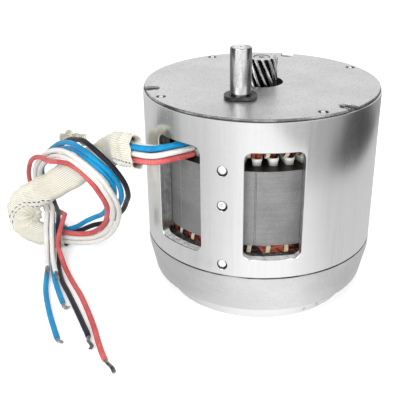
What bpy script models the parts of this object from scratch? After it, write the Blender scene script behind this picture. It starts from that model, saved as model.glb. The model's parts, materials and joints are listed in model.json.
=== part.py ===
"""Meat grinder motor: an open-frame induction motor with a helical pinion and a sleeved harness.

Metres, +Z up. The origin is on the surface the motor stands on, on the rotor's axis.
Angles named AZ are turned about Z from the front (-Y) towards +X.
"""
import math

import bmesh
import bpy
import numpy as np
from mathutils import Matrix, Vector

MM = 0.001
FIT = 0.0003

# Housing tube
TUBE_DIAMETER = 0.150
TUBE_LENGTH = 0.0984
RIM_CHAMFER = 0.0006
LOWER_WALL = 0.0052
LOWER_BORE_DEPTH = 0.0149
LANDING_WALL = 0.0087
LANDING_TAPER = 0.0015
COLLAR_WALL = 0.0125
COLLAR_DEPTH = 0.0150

# Windows in the tube, a pair in front and the same pair behind
WINDOW_AZ = (2.0, -45.5, 182.0, 134.5)
WINDOW_WIDTH = 0.0348
WINDOW_SILL_HEIGHT = 0.0124
WINDOW_HEAD_HEIGHT = 0.0180
WINDOW_CORNER = 0.0048

# End bell
BELL_HEIGHT = 0.0373
BELL_CHAMFER = 0.0004
BELL_SKIRT = 0.0058
BELL_TAPER = 0.0038
BELL_EDGE_HEIGHT = 0.0110
BELL_EDGE_ROUND = 0.0026
BELL_FLOOR = 0.0080
BELL_DRAFT = 0.0040
SPIGOT_HEIGHT = 0.0117
SPIGOT_WALL = 0.0055
FOOT_INSET_WIDTH = 0.0135
FOOT_WALL = 0.0055
FOOT_RECESS = 0.0060
HUB_DIAMETER = 0.048

# Gear plate
PLATE_INSET_WIDTH = 0.0008
PLATE_FLANGE_THICKNESS = 0.0014
PLATE_CHAMFER = 0.0006
PLATE_CENTRE_THICKNESS = 0.0091
PLATE_SPIGOT_HEIGHT = 0.0070
GEAR_HOLE_DIAMETER = 0.0277
NOTCH_AZ = (-80.0, 40.0, 160.0)
NOTCH_WIDTH = 0.0085
NOTCH_DEPTH = 0.0095
NOTCH_HOLE_DIAMETER = 0.0036
NOTCH_HOLE_DEPTH = 0.0080

# Screws
PLATE_SCREW_AZ = (-64.6, 25.4, 115.4, 205.4)
PLATE_SCREW_INSET_WIDTH = 0.0060
PLATE_SCREW_HEAD_DIAMETER = 0.0056
PLATE_SCREW_SHANK_DIAMETER = 0.0040
PLATE_SCREW_LENGTH = 0.0090
PLATE_SCREW_SUNK_DEPTH = 0.0002
SIDE_SCREW_AZ = (-21.6, 158.4)
SIDE_SCREW_RISES = (0.0027, -0.0193)
SPIGOT_SCREW_HEIGHT = 0.0071
SIDE_SCREW_DIAMETER = 0.0054
SIDE_SCREW_SUNK_DEPTH = 0.0006

# Bearings and washer
BEARING_BORE_DIAMETER = 0.015
BEARING_DIAMETER = 0.035
BEARING_WIDTH = 0.011
BEARING_RACE_THICKNESS = 0.0027
SHIELD_THICKNESS = 0.0008
SHIELD_CLEARANCE = 0.0005
LOWER_BEARING_HEIGHT = 0.0170
POCKET_LIP_HEIGHT = 0.0008
SHAFT_END_RELIEF_DEPTH = 0.0042
SHAFT_END_RELIEF_DIAMETER = 0.0210
WASHER_THICKNESS = 0.0007
WASHER_WALL = 0.0040

# Stator
STATOR_RADIAL_DEPTH = 0.0260
STACK_HEIGHT = 0.0174
TURNS_ROOM_HEIGHT = 0.0328
SLOTS = 36
SLOT_AZ = 3.5
SLOT_WIDTH_ANGLE = 5.2
SLOT_MOUTH_ANGLE = 2.6
SLOT_LIP_DEPTH = 0.0024
YOKE_DEPTH = 0.0090
SEAM_AZ = -6.5
SEAMS = 8
SEAM_WIDTH = 0.0020
SEAM_DEPTH = 0.0007
SLOT_WEDGE_THICKNESS = 0.0008
SLOT_LINER_THICKNESS = 0.0005
UPPER_TURNS_STANDOFF_HEIGHT = 0.0038
UPPER_TURNS_HEIGHT = 0.0190
LOWER_TURNS_HEIGHT = 0.0182
TURNS_INSET_WIDTH = 0.0055
TURNS_LEAN_SHARE = 0.1

# Rotor
ROTOR_GAP = 0.0006
ROTOR_SHAFT_DIAMETER = 0.020
END_RING_HEIGHT = 0.0058
END_RING_WIDTH = 0.0134
END_RING_SETBACK_WIDTH = 0.0020
SHAFT_STUB_LENGTH = 0.0025
SHAFT_NOSE_DIAMETER = 0.010
SHAFT_CHAMFER = 0.0006

# Helical pinion, left hand
PINION_TEETH = 13
PINION_MODULE = 0.00125
PINION_HELIX = 23.0
PINION_PRESSURE = 20.0
PINION_LENGTH = 0.0234
PINION_SUNK_DEPTH = 0.0077

# Idler axle and its collar
AXLE_PLACE = (-0.0150, -0.0345)
AXLE_DIAMETER = 0.0128
AXLE_HEIGHT = 0.0305
AXLE_CHAMFER = 0.0007
AXLE_GROOVE_DEPTH = 0.0005
AXLE_GROOVE_HEIGHT = 0.0011
COLLAR_DIAMETER = 0.0200
COLLAR_FLATS_WIDTH = 0.0160
COLLAR_THICKNESS = 0.0020

# Harness
LEAD_DIAMETER = 0.0036
LEAD_PITCH = 0.00405
LEAD_STEP = 0.0120
STRAND_SCALE = 0.45
SLEEVE_WIDTH = 0.0170
SLEEVE_UPPER_WIDTH = 0.0210
SLEEVE_DEPTH = 0.0100
SLEEVE_WALL = 0.0007
SLEEVE_FROM = 4
SLEEVE_TO = 18
SLEEVE_NARROWS = (11.5, 14)

# Smoothness of the round pieces
BODY_SIDES = 40
INNER_SIDES = 20
SCREW_SIDES = 10

# Heights and radii that follow from the sizes above
TUBE_R = TUBE_DIAMETER / 2
PLATE_R = TUBE_R - PLATE_INSET_WIDTH
PLATE_SCREW_R = TUBE_R - PLATE_SCREW_INSET_WIDTH
TUBE_Z = BELL_HEIGHT + FIT
RIM_Z = TUBE_Z + TUBE_LENGTH
PLATE_Z = RIM_Z + FIT
PLATE_TOP_Z = PLATE_Z + PLATE_FLANGE_THICKNESS
LOWER_BORE_R = TUBE_R - LOWER_WALL
COLLAR_BORE_R = TUBE_R - COLLAR_WALL
LANDING_R = TUBE_R - LANDING_WALL
STATOR_R = LANDING_R - FIT
BORE_R = STATOR_R - STATOR_RADIAL_DEPTH
SLOT_INNER_R = BORE_R + SLOT_LIP_DEPTH
SLOT_OUTER_R = STATOR_R - YOKE_DEPTH
LEG_INNER_R = SLOT_INNER_R + SLOT_WEDGE_THICKNESS
LEG_OUTER_R = SLOT_OUTER_R - SLOT_LINER_THICKNESS
TURNS_OUTER_R = STATOR_R - TURNS_INSET_WIDTH
SPIGOT_R = LOWER_BORE_R - FIT
SPIGOT_INNER_R = SPIGOT_R - SPIGOT_WALL
STACK_LENGTH = TUBE_LENGTH - STACK_HEIGHT - TURNS_ROOM_HEIGHT
STACK_Z = TUBE_Z + STACK_HEIGHT
STACK_TOP_Z = STACK_Z + STACK_LENGTH
SIDE_SCREW_HEIGHTS = tuple(STACK_TOP_Z - TUBE_Z + rise for rise in SIDE_SCREW_RISES)
WINDOW_HEIGHT = TUBE_LENGTH - WINDOW_SILL_HEIGHT - WINDOW_HEAD_HEIGHT
WINDOW_Z = TUBE_Z + WINDOW_SILL_HEIGHT
POCKET_R = BEARING_DIAMETER / 2 + FIT
POCKET_TOP_Z = PLATE_TOP_Z - PLATE_CENTRE_THICKNESS
UPPER_BEARING_Z = POCKET_TOP_Z - 2 * FIT - WASHER_THICKNESS - BEARING_WIDTH
LOWER_BEARING_TOP_Z = LOWER_BEARING_HEIGHT + BEARING_WIDTH
PINION_Z = PLATE_TOP_Z - PINION_SUNK_DEPTH
PINION_TOP_Z = PINION_Z + PINION_LENGTH
ROTOR_R = BORE_R - ROTOR_GAP
END_RING_INNER_R = ROTOR_R - END_RING_WIDTH

# The harness leaves the left window and stands folded beside the motor. The first list is the
# middle line of the bundle, in millimetres, with the direction in which its front layer lies.
# It is drawn for a tube of this radius and this rim, and moves with the real ones.
ROUTE_TUBE_R = 0.075
ROUTE_RIM_Z = 0.136
ROUTE_LOW_Z = 0.025
ROUTE = (
    ((-44.6, -41.6, 110.0), (0.70, -0.70, 0)),
    ((-50.0, -46.0, 110.0), (0.45, -0.90, 0)),
    ((-58.0, -48.4, 109.8), (0.10, -1, 0)),
    ((-67.5, -48.6, 109.4), (-0.15, -1, 0)),
    ((-77.0, -44.5, 108.2), (-0.55, -0.85, 0)),
    ((-85.0, -33.0, 105.0), (-0.85, -0.50, 0)),
    ((-90.5, -16.0, 99.5), (-0.90, -0.40, 0)),
    ((-96.0, 2.0, 92.0), (-0.90, -0.45, 0)),
    ((-105.0, 19.0, 82.0), (-0.80, -0.60, 0)),
    ((-118.0, 32.5, 70.0), (-0.65, -0.75, 0)),
    ((-133.0, 40.0, 58.5), (-0.35, -0.95, 0)),
    ((-147.5, 43.0, 49.0), (-0.15, -1, 0)),
    ((-160.5, 43.5, 42.3), (0, -1, 0)),
    ((-171.8, 43.2, 36.0), (0, -1, 0)),
    ((-176.8, 42.8, 25.0), (0, -1, 0)),
    ((-172.2, 42.2, 13.8), (0, -1, 0)),
    ((-161.5, 41.0, 8.9), (0, -1, 0)),
    ((-151.5, 39.5, 8.8), (0, -1, 0)),
    ((-142.0, 37.0, 8.8), (0, -1, 0)),
    ((-130.0, 33.0, 11.8), (0, -1, 0)),
    ((-117.0, 26.0, 19.5), (0, -1, 0)),
    ((-105.5, 15.5, 32.0), (0, -1, 0)),
    ((-100.0, 2.0, 47.5), (0, -1, 0)),
    ((-98.5, -9.5, 63.0), (-0.10, -1, 0)),
    ((-103.0, -14.5, 76.5), (-0.30, -1, 0)),
    ((-113.5, -9.5, 85.5), (-0.70, -0.75, 0)),
    ((-125.0, 5.0, 87.0), (-0.85, -0.50, 0)),
    ((-136.5, 23.5, 82.0), (-0.85, -0.50, 0)),
    ((-147.5, 42.5, 72.5), (-0.80, -0.60, 0)),
    ((-157.5, 58.5, 60.5), (-0.60, -0.80, 0)),
    ((-164.0, 69.5, 48.5), (-0.20, -1, 0)),
    ((-165.0, 74.5, 36.0), (0, -1, 0.15)),
    ((-161.5, 71.5, 26.5), (0, -0.75, 0.65)),
    ((-156.5, 62.0, 22.0), (0, -0.25, 1)),
    ((-152.8, 50.0, 22.4), (0, 0, 1)),
    ((-151.0, 38.5, 22.2), (0, -0.15, 1)),
    ((-149.8, 28.0, 18.0), (0, -0.50, 0.90)),
    ((-148.5, 18.5, 10.8), (0, -0.50, 0.85)),
    ((-147.0, 9.0, 6.0), (0, -0.30, 0.95)),
    ((-145.6, 0.0, 4.1), (0, 0, 1)),
)

# Each lead's place in the bundle: (place along the route, sideways, forwards), the last two in
# pitches, and then the points in millimetres by which its free end lies down.
LEADS = {
    "lead_red": (
        ((0, -1, .5), (2, -1, .5), (3.2, -1.4, .5), (4.4, -1, .5), (18, -1, .5), (20, .1, .5),
         (21.7, -.8, .5), (23.5, -1.65, .5), (26, -1.65, .5), (27.3, -1.3, 1.55), (29, 1.3, 1.6),
         (30.1, 2, .6), (31, 2.2, -.6), (32, 1.6, -1.75), (33.2, -1.6, -1.75), (34.2, -2.3, -.6),
         (35.2, -2.1, .4), (37, -1, .5)),
        ((-141, 8.5, 7.8), (-137, -1, 4.2), (-132, -12, 2.3), (-126.8, -23, 1.9),
         (-121.5, -34, 1.9), (-114, -53, 1.9), (-107, -73, 1.9), (-102, -90, 1.9),
         (-96.5, -105, 1.9), (-89, -117, 1.9))),
    "lead_white_1": (
        ((0, 0, .5), (2, 0, .5), (3.2, -.4, .5), (4.4, 0, .5), (18, 0, .5), (20, 1.1, .5),
         (21.7, .2, .5), (23.5, -.65, .5), (26, -.65, .5), (29, -.4, .5), (32, 0, .5),
         (38, 0, .5)),
        ((-145, 1, 6.3), (-143, -6.5, 5.9), (-141.4, -11, 5.6), (-138.3, -20, 4.6))),
    "lead_white_2": (
        ((0, 1, -.5), (2, .6, -.5), (3.2, .5, -.5), (4.4, 1, -.53), (5.4, 1.4, -.53),
         (6.2, 1.76, -.37), (7, 1.93, 0), (7.8, 1.76, .37), (8.6, 1.4, .53), (10, 1, .5),
         (18, 1, .5), (20, 2.1, .5), (21.7, 1.2, .5), (23.5, .35, .5), (26, .35, .5),
         (29, .6, .5), (32, 1, .5), (37, 1, .5)),
        ((-151.2, 8.5, 8.4), (-149.6, 0, 6.5), (-148.8, -4, 6), (-147.2, -12, 5))),
    "lead_blue_1": (
        ((0, -1, -.5), (2, -1.4, -.5), (3.2, -1.5, -.5), (4.4, -1, -.5), (18, -1, -.5),
         (20, -2.1, -.5), (21.7, -1.2, -.5), (23.5, .75, -.5), (26, .75, -.5), (29, -.2, -.5),
         (32, 0, -.5), (39, 0, -.5)),
        ((-141.8, -15, 1.95), (-136, -32, 1.95), (-131, -45, 1.95), (-127, -53, 1.95))),
    "lead_blue_2": (
        ((0, 1, .5), (2, 1.05, .5), (3.2, .75, .5), (4.4, 1, .53), (5.4, 1.4, .53),
         (6.2, 1.03, .37), (7, .87, 0), (7.8, 1.03, -.37), (8.6, 1.4, -.53), (10, 1, -.5),
         (18, 1, -.5), (20, .5, -.5), (21.7, .6, -.5), (23.5, 1.75, -.5), (26, 1.75, -.5),
         (29, .8, -.5), (32, 1, -.5), (39, 1, -.5)),
        ((-148.4, -10, 1.95), (-145.5, -29, 1.95), (-139, -53, 1.95), (-131, -76, 1.95),
         (-128, -84, 1.95), (-125, -90, 1.95))),
    "lead_black": (
        ((0, 0, -.5), (2, -.4, -.5), (3.2, -.5, -.5), (4.4, 0, -.5), (18, 0, -.5),
         (19.5, -.5, -1.2), (20.5, .6, -1.6), (22, 1.95, -1.5), (23.5, 2.8, -.5),
         (24.5, 2.8, -.6), (25.3, 2.75, -1.4), (26.6, 1.9, -1.7), (28, 1, -1.65),
         (30.5, 0, -1.65), (32, -.9, -1.4), (33.3, -1, -.5), (39, -1, -.5)),
        ((-136.6, -16.5, 1.95), (-129, -34, 1.95), (-121, -53, 1.95), (-114.5, -69, 1.95),
         (-109.5, -82, 1.95), (-107, -97, 1.95))),
}


def material(name, colour, metallic, roughness):
    """A Principled material in one colour."""
    made = bpy.data.materials.new(name)
    made.use_nodes = True
    shader = made.node_tree.nodes["Principled BSDF"]
    shader.inputs["Base Color"].default_value = (*colour, 1)
    shader.inputs["Metallic"].default_value = metallic
    shader.inputs["Roughness"].default_value = roughness
    made.diffuse_color = (*colour, 1)
    return made


def place(name, mesh, look, location=(0, 0, 0), turn=0.0, parent=None, smooth=True):
    """Put a mesh in the scene as one named piece with its own material."""
    if smooth:
        mesh.shade_smooth()
        mesh.set_sharp_from_angle(angle=math.radians(32))
    piece = bpy.data.objects.new(name, mesh)
    bpy.context.scene.collection.objects.link(piece)
    piece.location = location
    piece.rotation_euler = (0, 0, turn)
    piece.parent = parent
    piece.data.materials.append(material(name, *look))
    return piece


def polar(radius, az):
    """Ground point at a radius and an angle from the front."""
    return radius * math.sin(math.radians(az)), -radius * math.cos(math.radians(az))


def ring_points(radius, count, start=0.0):
    """Corners of a regular polygon."""
    steps = [start + 2 * math.pi * k / count for k in range(count)]
    return [(radius * math.cos(a), radius * math.sin(a)) for a in steps]


def finish(bm, name):
    """Close up a bmesh into a mesh whose faces point outwards."""
    bmesh.ops.recalc_face_normals(bm, faces=bm.faces)
    mesh = bpy.data.meshes.new(name)
    bm.to_mesh(mesh)
    bm.free()
    return mesh


def turned(name, profile, sides):
    """Spin a profile of (radius, height) about Z; one that starts on the axis ends on it."""
    bm = bmesh.new()
    verts = [bm.verts.new((r, 0, z)) for r, z in profile]
    edges = [bm.edges.new(pair) for pair in zip(verts, verts[1:])]
    if profile[0][0] > 0:
        edges.append(bm.edges.new((verts[-1], verts[0])))
    bmesh.ops.spin(bm, geom=verts + edges, cent=(0, 0, 0), axis=(0, 0, 1), angle=2 * math.pi,
                   steps=sides, use_merge=True)
    bmesh.ops.remove_doubles(bm, verts=bm.verts, dist=0.000001)
    return finish(bm, name)


def prism(name, loops, levels):
    """Raise flat outlines through levels of (height, turn); a second outline is a hole."""
    bm = bmesh.new()
    rows = []
    for z, turn in levels:
        c, s = math.cos(turn), math.sin(turn)
        rows.append([[bm.verts.new((x * c - y * s, x * s + y * c, z)) for x, y in loop]
                     for loop in loops])
    for low, high in zip(rows, rows[1:]):
        for a, b in zip(low, high):
            for i in range(len(a)):
                j = (i + 1) % len(a)
                bm.faces.new((a[i], a[j], b[j], b[i]))
    for row in (rows[0], rows[-1]):
        if len(row) == 1:
            bm.faces.new(row[0])
            continue
        rims = [bm.edges.get((loop[i - 1], loop[i])) for loop in row for i in range(len(loop))]
        bmesh.ops.triangle_fill(bm, use_beauty=True, use_dissolve=False, edges=rims)
    return finish(bm, name)


def cutter(name, mesh, matrix):
    """A guide shape for cuts, kept out of the finished model."""
    guide = bpy.data.objects.new(name, mesh)
    bpy.context.scene.collection.objects.link(guide)
    guide.matrix_world = matrix
    guide.hide_render = True
    guide.display_type = "WIRE"
    return guide


def cut(piece, guides):
    """Take each guide away from a piece."""
    for guide in guides:
        modifier = piece.modifiers.new("cut " + guide.name, "BOOLEAN")
        modifier.operation = "DIFFERENCE"
        modifier.solver = "EXACT"
        modifier.object = guide


def outwards(az, radius, z):
    """Frame on the tube's side: local Z points outwards, local Y points up."""
    a = math.radians(az)
    out = Vector((math.sin(a), -math.cos(a), 0))
    up = Vector((0, 0, 1))
    side = up.cross(out)
    frame = Matrix((side, up, out)).transposed().to_4x4()
    frame.translation = out * radius + up * z
    return frame


def rounded_rectangle(width, height, corner, steps=4):
    """Outline with round corners, centred on its middle."""
    points = []
    for k, (sx, sy) in enumerate(((1, 1), (-1, 1), (-1, -1), (1, -1))):
        for i in range(steps + 1):
            a = math.pi / 2 * (k + i / steps)
            points.append((sx * (width / 2 - corner) + corner * math.cos(a),
                           sy * (height / 2 - corner) + corner * math.sin(a)))
    return points


def window_cutters():
    """Bars that cut the windows straight through the tube's wall."""
    corner = min(WINDOW_CORNER, WINDOW_WIDTH / 2.2, WINDOW_HEIGHT / 2.2)
    outline = rounded_rectangle(WINDOW_WIDTH, WINDOW_HEIGHT, corner)
    reach = TUBE_R - LANDING_R
    inner = math.sqrt(COLLAR_BORE_R ** 2 - (WINDOW_WIDTH / 2) ** 2) - reach
    mesh = prism("window", [outline], [(inner, 0), (TUBE_R + reach, 0)])
    middle = WINDOW_Z + WINDOW_HEIGHT / 2
    return [cutter("window_%d" % k, mesh, outwards(az, 0, middle))
            for k, az in enumerate(WINDOW_AZ, 1)]


def side_hole_cutters():
    """Round cutters for the side screws, through the tube and the bell's spigot."""
    disc = ring_points(SIDE_SCREW_DIAMETER / 2 + FIT, SCREW_SIDES, math.pi / SCREW_SIDES)
    depth = TUBE_R - SPIGOT_INNER_R + 10 * FIT
    mesh = prism("side_hole", [disc], [(-depth, 0), (10 * FIT, 0)])
    return [cutter("side_hole_%d_%d" % (row, k), mesh, outwards(az, TUBE_R, TUBE_Z + height))
            for row, az in enumerate(SIDE_SCREW_AZ, 1)
            for k, height in enumerate((*SIDE_SCREW_HEIGHTS, SPIGOT_SCREW_HEIGHT), 1)]


def upright(x, y, z):
    """Frame that stands at a point."""
    return Matrix.Translation((x, y, z))


def plate_hole_cutters():
    """Holes of the plate screws: the head's in the plate, the shank's in the tube."""
    wide = ring_points(PLATE_SCREW_HEAD_DIAMETER / 2 + FIT, SCREW_SIDES)
    narrow = ring_points(PLATE_SCREW_SHANK_DIAMETER / 2 + FIT, SCREW_SIDES)
    head = prism("screw_head_hole", [wide], [(-10 * FIT, 0), (PLATE_FLANGE_THICKNESS + 10 * FIT, 0)])
    shank = prism("screw_shank_hole", [narrow], [(-PLATE_SCREW_LENGTH - FIT, 0), (10 * FIT, 0)])
    heads, shanks = [], []
    for k, az in enumerate(PLATE_SCREW_AZ, 1):
        x, y = polar(PLATE_SCREW_R, az)
        heads.append(cutter("head_hole_%d" % k, head, upright(x, y, PLATE_Z)))
        shanks.append(cutter("shank_hole_%d" % k, shank, upright(x, y, RIM_Z)))
    return heads, shanks


def notch_cutters():
    """U-shaped notches through the plate's flange, and the plain hole under each in the rim."""
    half = NOTCH_WIDTH / 2
    inner = PLATE_R - NOTCH_DEPTH + half
    arc = [(half * math.cos(a), -half * math.sin(a)) for a in np.linspace(0, math.pi, 9)]
    outline = [(half, 2 * NOTCH_DEPTH)] + arc + [(-half, 2 * NOTCH_DEPTH)]
    notch = prism("notch", [outline], [(0, 0), (PLATE_FLANGE_THICKNESS + 10 * FIT, 0)])
    disc = ring_points(NOTCH_HOLE_DIAMETER / 2, SCREW_SIDES)
    hole = prism("notch_hole", [disc], [(-NOTCH_HOLE_DEPTH, 0), (10 * FIT, 0)])
    notches, holes = [], []
    for k, az in enumerate(NOTCH_AZ, 1):
        x, y = polar(inner, az)
        turn = Matrix.Rotation(math.radians(az) + math.pi, 4, "Z")
        notches.append(cutter("notch_%d" % k, notch, upright(x, y, PLATE_Z) @ turn))
        x, y = polar((TUBE_R + COLLAR_BORE_R) / 2, az)
        holes.append(cutter("notch_hole_%d" % k, hole, upright(x, y, RIM_Z)))
    return notches, holes


def housing_tube(guides):
    """Turned tube: thin wall below, a landing for the stator, a thick collar at the rim."""
    landing_z = LOWER_BORE_DEPTH + LANDING_TAPER
    collar_z = TUBE_LENGTH - COLLAR_DEPTH
    profile = [(TUBE_R, 0), (TUBE_R, TUBE_LENGTH - RIM_CHAMFER),
               (TUBE_R - RIM_CHAMFER, TUBE_LENGTH), (COLLAR_BORE_R, TUBE_LENGTH),
               (COLLAR_BORE_R, collar_z), (LANDING_R, collar_z - LANDING_TAPER),
               (LANDING_R, landing_z), (LOWER_BORE_R, LOWER_BORE_DEPTH), (LOWER_BORE_R, 0)]
    piece = place("housing_tube", turned("housing_tube", profile, BODY_SIDES),
                  ((0.80, 0.80, 0.81), 1.0, 0.28), (0, 0, TUBE_Z))
    cut(piece, guides)
    return piece


def end_bell(guides):
    """Cast cup under the tube: foot ring, drafted skirt, spigot into the tube, bearing hub."""
    foot_r = TUBE_R - FOOT_INSET_WIDTH
    floor_z = FOOT_RECESS + BELL_FLOOR
    edge_r = TUBE_R - BELL_TAPER
    edge_z = BELL_EDGE_HEIGHT
    pocket_z = LOWER_BEARING_HEIGHT - FIT
    relief_r = SHAFT_END_RELIEF_DIAMETER / 2
    hub_r = HUB_DIAMETER / 2
    hub_z = LOWER_BEARING_TOP_Z + FIT
    profile = [(0, FOOT_RECESS), (foot_r - FOOT_WALL, FOOT_RECESS), (foot_r - FOOT_WALL, 0),
               (foot_r, 0), (foot_r, edge_z), (edge_r - 1.3 * BELL_EDGE_ROUND, edge_z),
               (edge_r - 0.35 * BELL_EDGE_ROUND, edge_z + 0.35 * BELL_EDGE_ROUND),
               (edge_r, edge_z + 1.3 * BELL_EDGE_ROUND), (TUBE_R, BELL_HEIGHT - BELL_SKIRT),
               (TUBE_R, BELL_HEIGHT - BELL_CHAMFER), (TUBE_R - BELL_CHAMFER, BELL_HEIGHT),
               (SPIGOT_R, BELL_HEIGHT), (SPIGOT_R, BELL_HEIGHT + SPIGOT_HEIGHT),
               (SPIGOT_INNER_R, BELL_HEIGHT + SPIGOT_HEIGHT), (SPIGOT_INNER_R - BELL_DRAFT, floor_z),
               (hub_r, floor_z), (hub_r, hub_z), (POCKET_R, hub_z), (POCKET_R, pocket_z),
               (relief_r, pocket_z), (relief_r, pocket_z - SHAFT_END_RELIEF_DEPTH),
               (0, pocket_z - SHAFT_END_RELIEF_DEPTH)]
    piece = place("end_bell", turned("end_bell", profile, BODY_SIDES),
                  ((0.66, 0.66, 0.66), 1.0, 0.42))
    cut(piece, guides)
    return piece


def gear_plate(guides):
    """Flat plate on the rim: spigot in the tube, hub with the upper bearing's pocket."""
    plate_r = PLATE_R
    spigot_r = COLLAR_BORE_R - FIT
    spigot_z = PLATE_Z - PLATE_SPIGOT_HEIGHT
    hub_r = HUB_DIAMETER / 2
    hub_z = UPPER_BEARING_Z - POCKET_LIP_HEIGHT
    hole_r = GEAR_HOLE_DIAMETER / 2
    profile = [(hole_r, PLATE_TOP_Z), (plate_r - PLATE_CHAMFER, PLATE_TOP_Z),
               (plate_r, PLATE_TOP_Z - PLATE_CHAMFER), (plate_r, PLATE_Z), (spigot_r, PLATE_Z),
               (spigot_r, spigot_z), (hub_r, spigot_z), (hub_r, hub_z), (POCKET_R, hub_z),
               (POCKET_R, POCKET_TOP_Z), (hole_r, POCKET_TOP_Z)]
    piece = place("gear_plate", turned("gear_plate", profile, BODY_SIDES),
                  ((0.70, 0.70, 0.70), 1.0, 0.45))
    bore = ring_points(AXLE_DIAMETER / 2 + FIT, INNER_SIDES)
    reach = PLATE_FLANGE_THICKNESS + PLATE_SPIGOT_HEIGHT
    mesh = prism("axle_bore", [bore], [(-reach - 10 * FIT, 0), (10 * FIT, 0)])
    cut(piece, guides + [cutter("axle_bore", mesh, upright(*AXLE_PLACE, PLATE_TOP_Z))])
    return piece


def screws():
    """Sunk side screws and the plate's flat-headed screws."""
    steel = ((0.72, 0.72, 0.72), 1.0, 0.30)
    disc = ring_points(SIDE_SCREW_DIAMETER / 2, SCREW_SIDES, math.pi / SCREW_SIDES)
    outer = TUBE_R - SIDE_SCREW_SUNK_DEPTH
    number = 0
    for az in SIDE_SCREW_AZ:
        for height in (*SIDE_SCREW_HEIGHTS, SPIGOT_SCREW_HEIGHT):
            number += 1
            in_spigot = height < SPIGOT_HEIGHT
            inner = SPIGOT_INNER_R + FIT if in_spigot else LANDING_R + FIT
            mesh = prism("side_screw", [disc], [(inner - outer, 0), (0, 0)])
            screw = place("side_screw_%d" % number, mesh, steel)
            screw.matrix_world = outwards(az, outer, TUBE_Z + height)
    head_r = PLATE_SCREW_HEAD_DIAMETER / 2
    shank_r = PLATE_SCREW_SHANK_DIAMETER / 2
    top = PLATE_FLANGE_THICKNESS - PLATE_SCREW_SUNK_DEPTH
    profile = [(0, -PLATE_SCREW_LENGTH), (shank_r, -PLATE_SCREW_LENGTH), (shank_r, FIT),
               (head_r, FIT), (head_r, top), (0, top)]
    for k, az in enumerate(PLATE_SCREW_AZ, 1):
        x, y = polar(PLATE_SCREW_R, az)
        mesh = turned("plate_screw", profile, SCREW_SIDES)
        place("plate_screw_%d" % k, mesh, steel, (x, y, PLATE_Z))


def bearings(rotor_axis):
    """Two shielded ball bearings: outer rings in their pockets, inner rings on the shaft."""
    steel = ((0.62, 0.62, 0.63), 1.0, 0.25)
    out_r = BEARING_DIAMETER / 2
    race_r = out_r - BEARING_RACE_THICKNESS
    bore_r = BEARING_BORE_DIAMETER / 2 + FIT
    inner_r = BEARING_BORE_DIAMETER / 2 + FIT + BEARING_RACE_THICKNESS
    lip_r = inner_r + SHIELD_CLEARANCE
    w, t = BEARING_WIDTH, SHIELD_THICKNESS
    outer = [(out_r, 0), (out_r, w), (lip_r, w), (lip_r, w - t), (race_r, w - t), (race_r, t),
             (lip_r, t), (lip_r, 0)]
    inner = [(inner_r, 0), (inner_r, w), (bore_r, w), (bore_r, 0)]
    for label, z in (("lower", LOWER_BEARING_HEIGHT), ("upper", UPPER_BEARING_Z)):
        place(label + "_bearing_outer", turned("bearing_outer", outer, INNER_SIDES), steel, (0, 0, z))
        place(label + "_bearing_inner", turned("bearing_inner", inner, INNER_SIDES), steel,
              (0, 0, z), parent=rotor_axis)
    washer = [(out_r, 0), (out_r, WASHER_THICKNESS), (out_r - WASHER_WALL, WASHER_THICKNESS),
              (out_r - WASHER_WALL, 0)]
    place("preload_washer", turned("preload_washer", washer, INNER_SIDES), steel,
          (0, 0, UPPER_BEARING_Z + w + FIT))


def stator_core():
    """Laminated stack with semi-closed slots and a shallow groove at each welded seam."""
    slots = []
    for k in range(SLOTS):
        middle = SLOT_AZ + 360 / SLOTS * k
        wide, mouth = SLOT_WIDTH_ANGLE / 2, SLOT_MOUTH_ANGLE / 2
        slots += [polar(BORE_R, middle - mouth), polar(SLOT_INNER_R, middle - wide),
                  polar(SLOT_OUTER_R, middle - wide), polar(SLOT_OUTER_R, middle + wide),
                  polar(SLOT_INNER_R, middle + wide), polar(BORE_R, middle + mouth)]
    rim = []
    between = 8
    half = math.degrees(SEAM_WIDTH / 2 / STATOR_R)
    for k in range(SEAMS):
        middle = SEAM_AZ + 360 / SEAMS * k
        rim += [polar(STATOR_R, middle - half), polar(STATOR_R - SEAM_DEPTH, middle - half / 2),
                polar(STATOR_R - SEAM_DEPTH, middle + half / 2), polar(STATOR_R, middle + half)]
        free = 360 / SEAMS - 2 * half
        rim += [polar(STATOR_R, middle + half + free * i / between) for i in range(1, between)]
    mesh = prism("stator_core", [rim, slots], [(0, 0), (STACK_LENGTH, 0)])
    return place("stator_core", mesh, ((0.42, 0.42, 0.42), 0.9, 0.45), (0, 0, STACK_Z))


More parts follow.
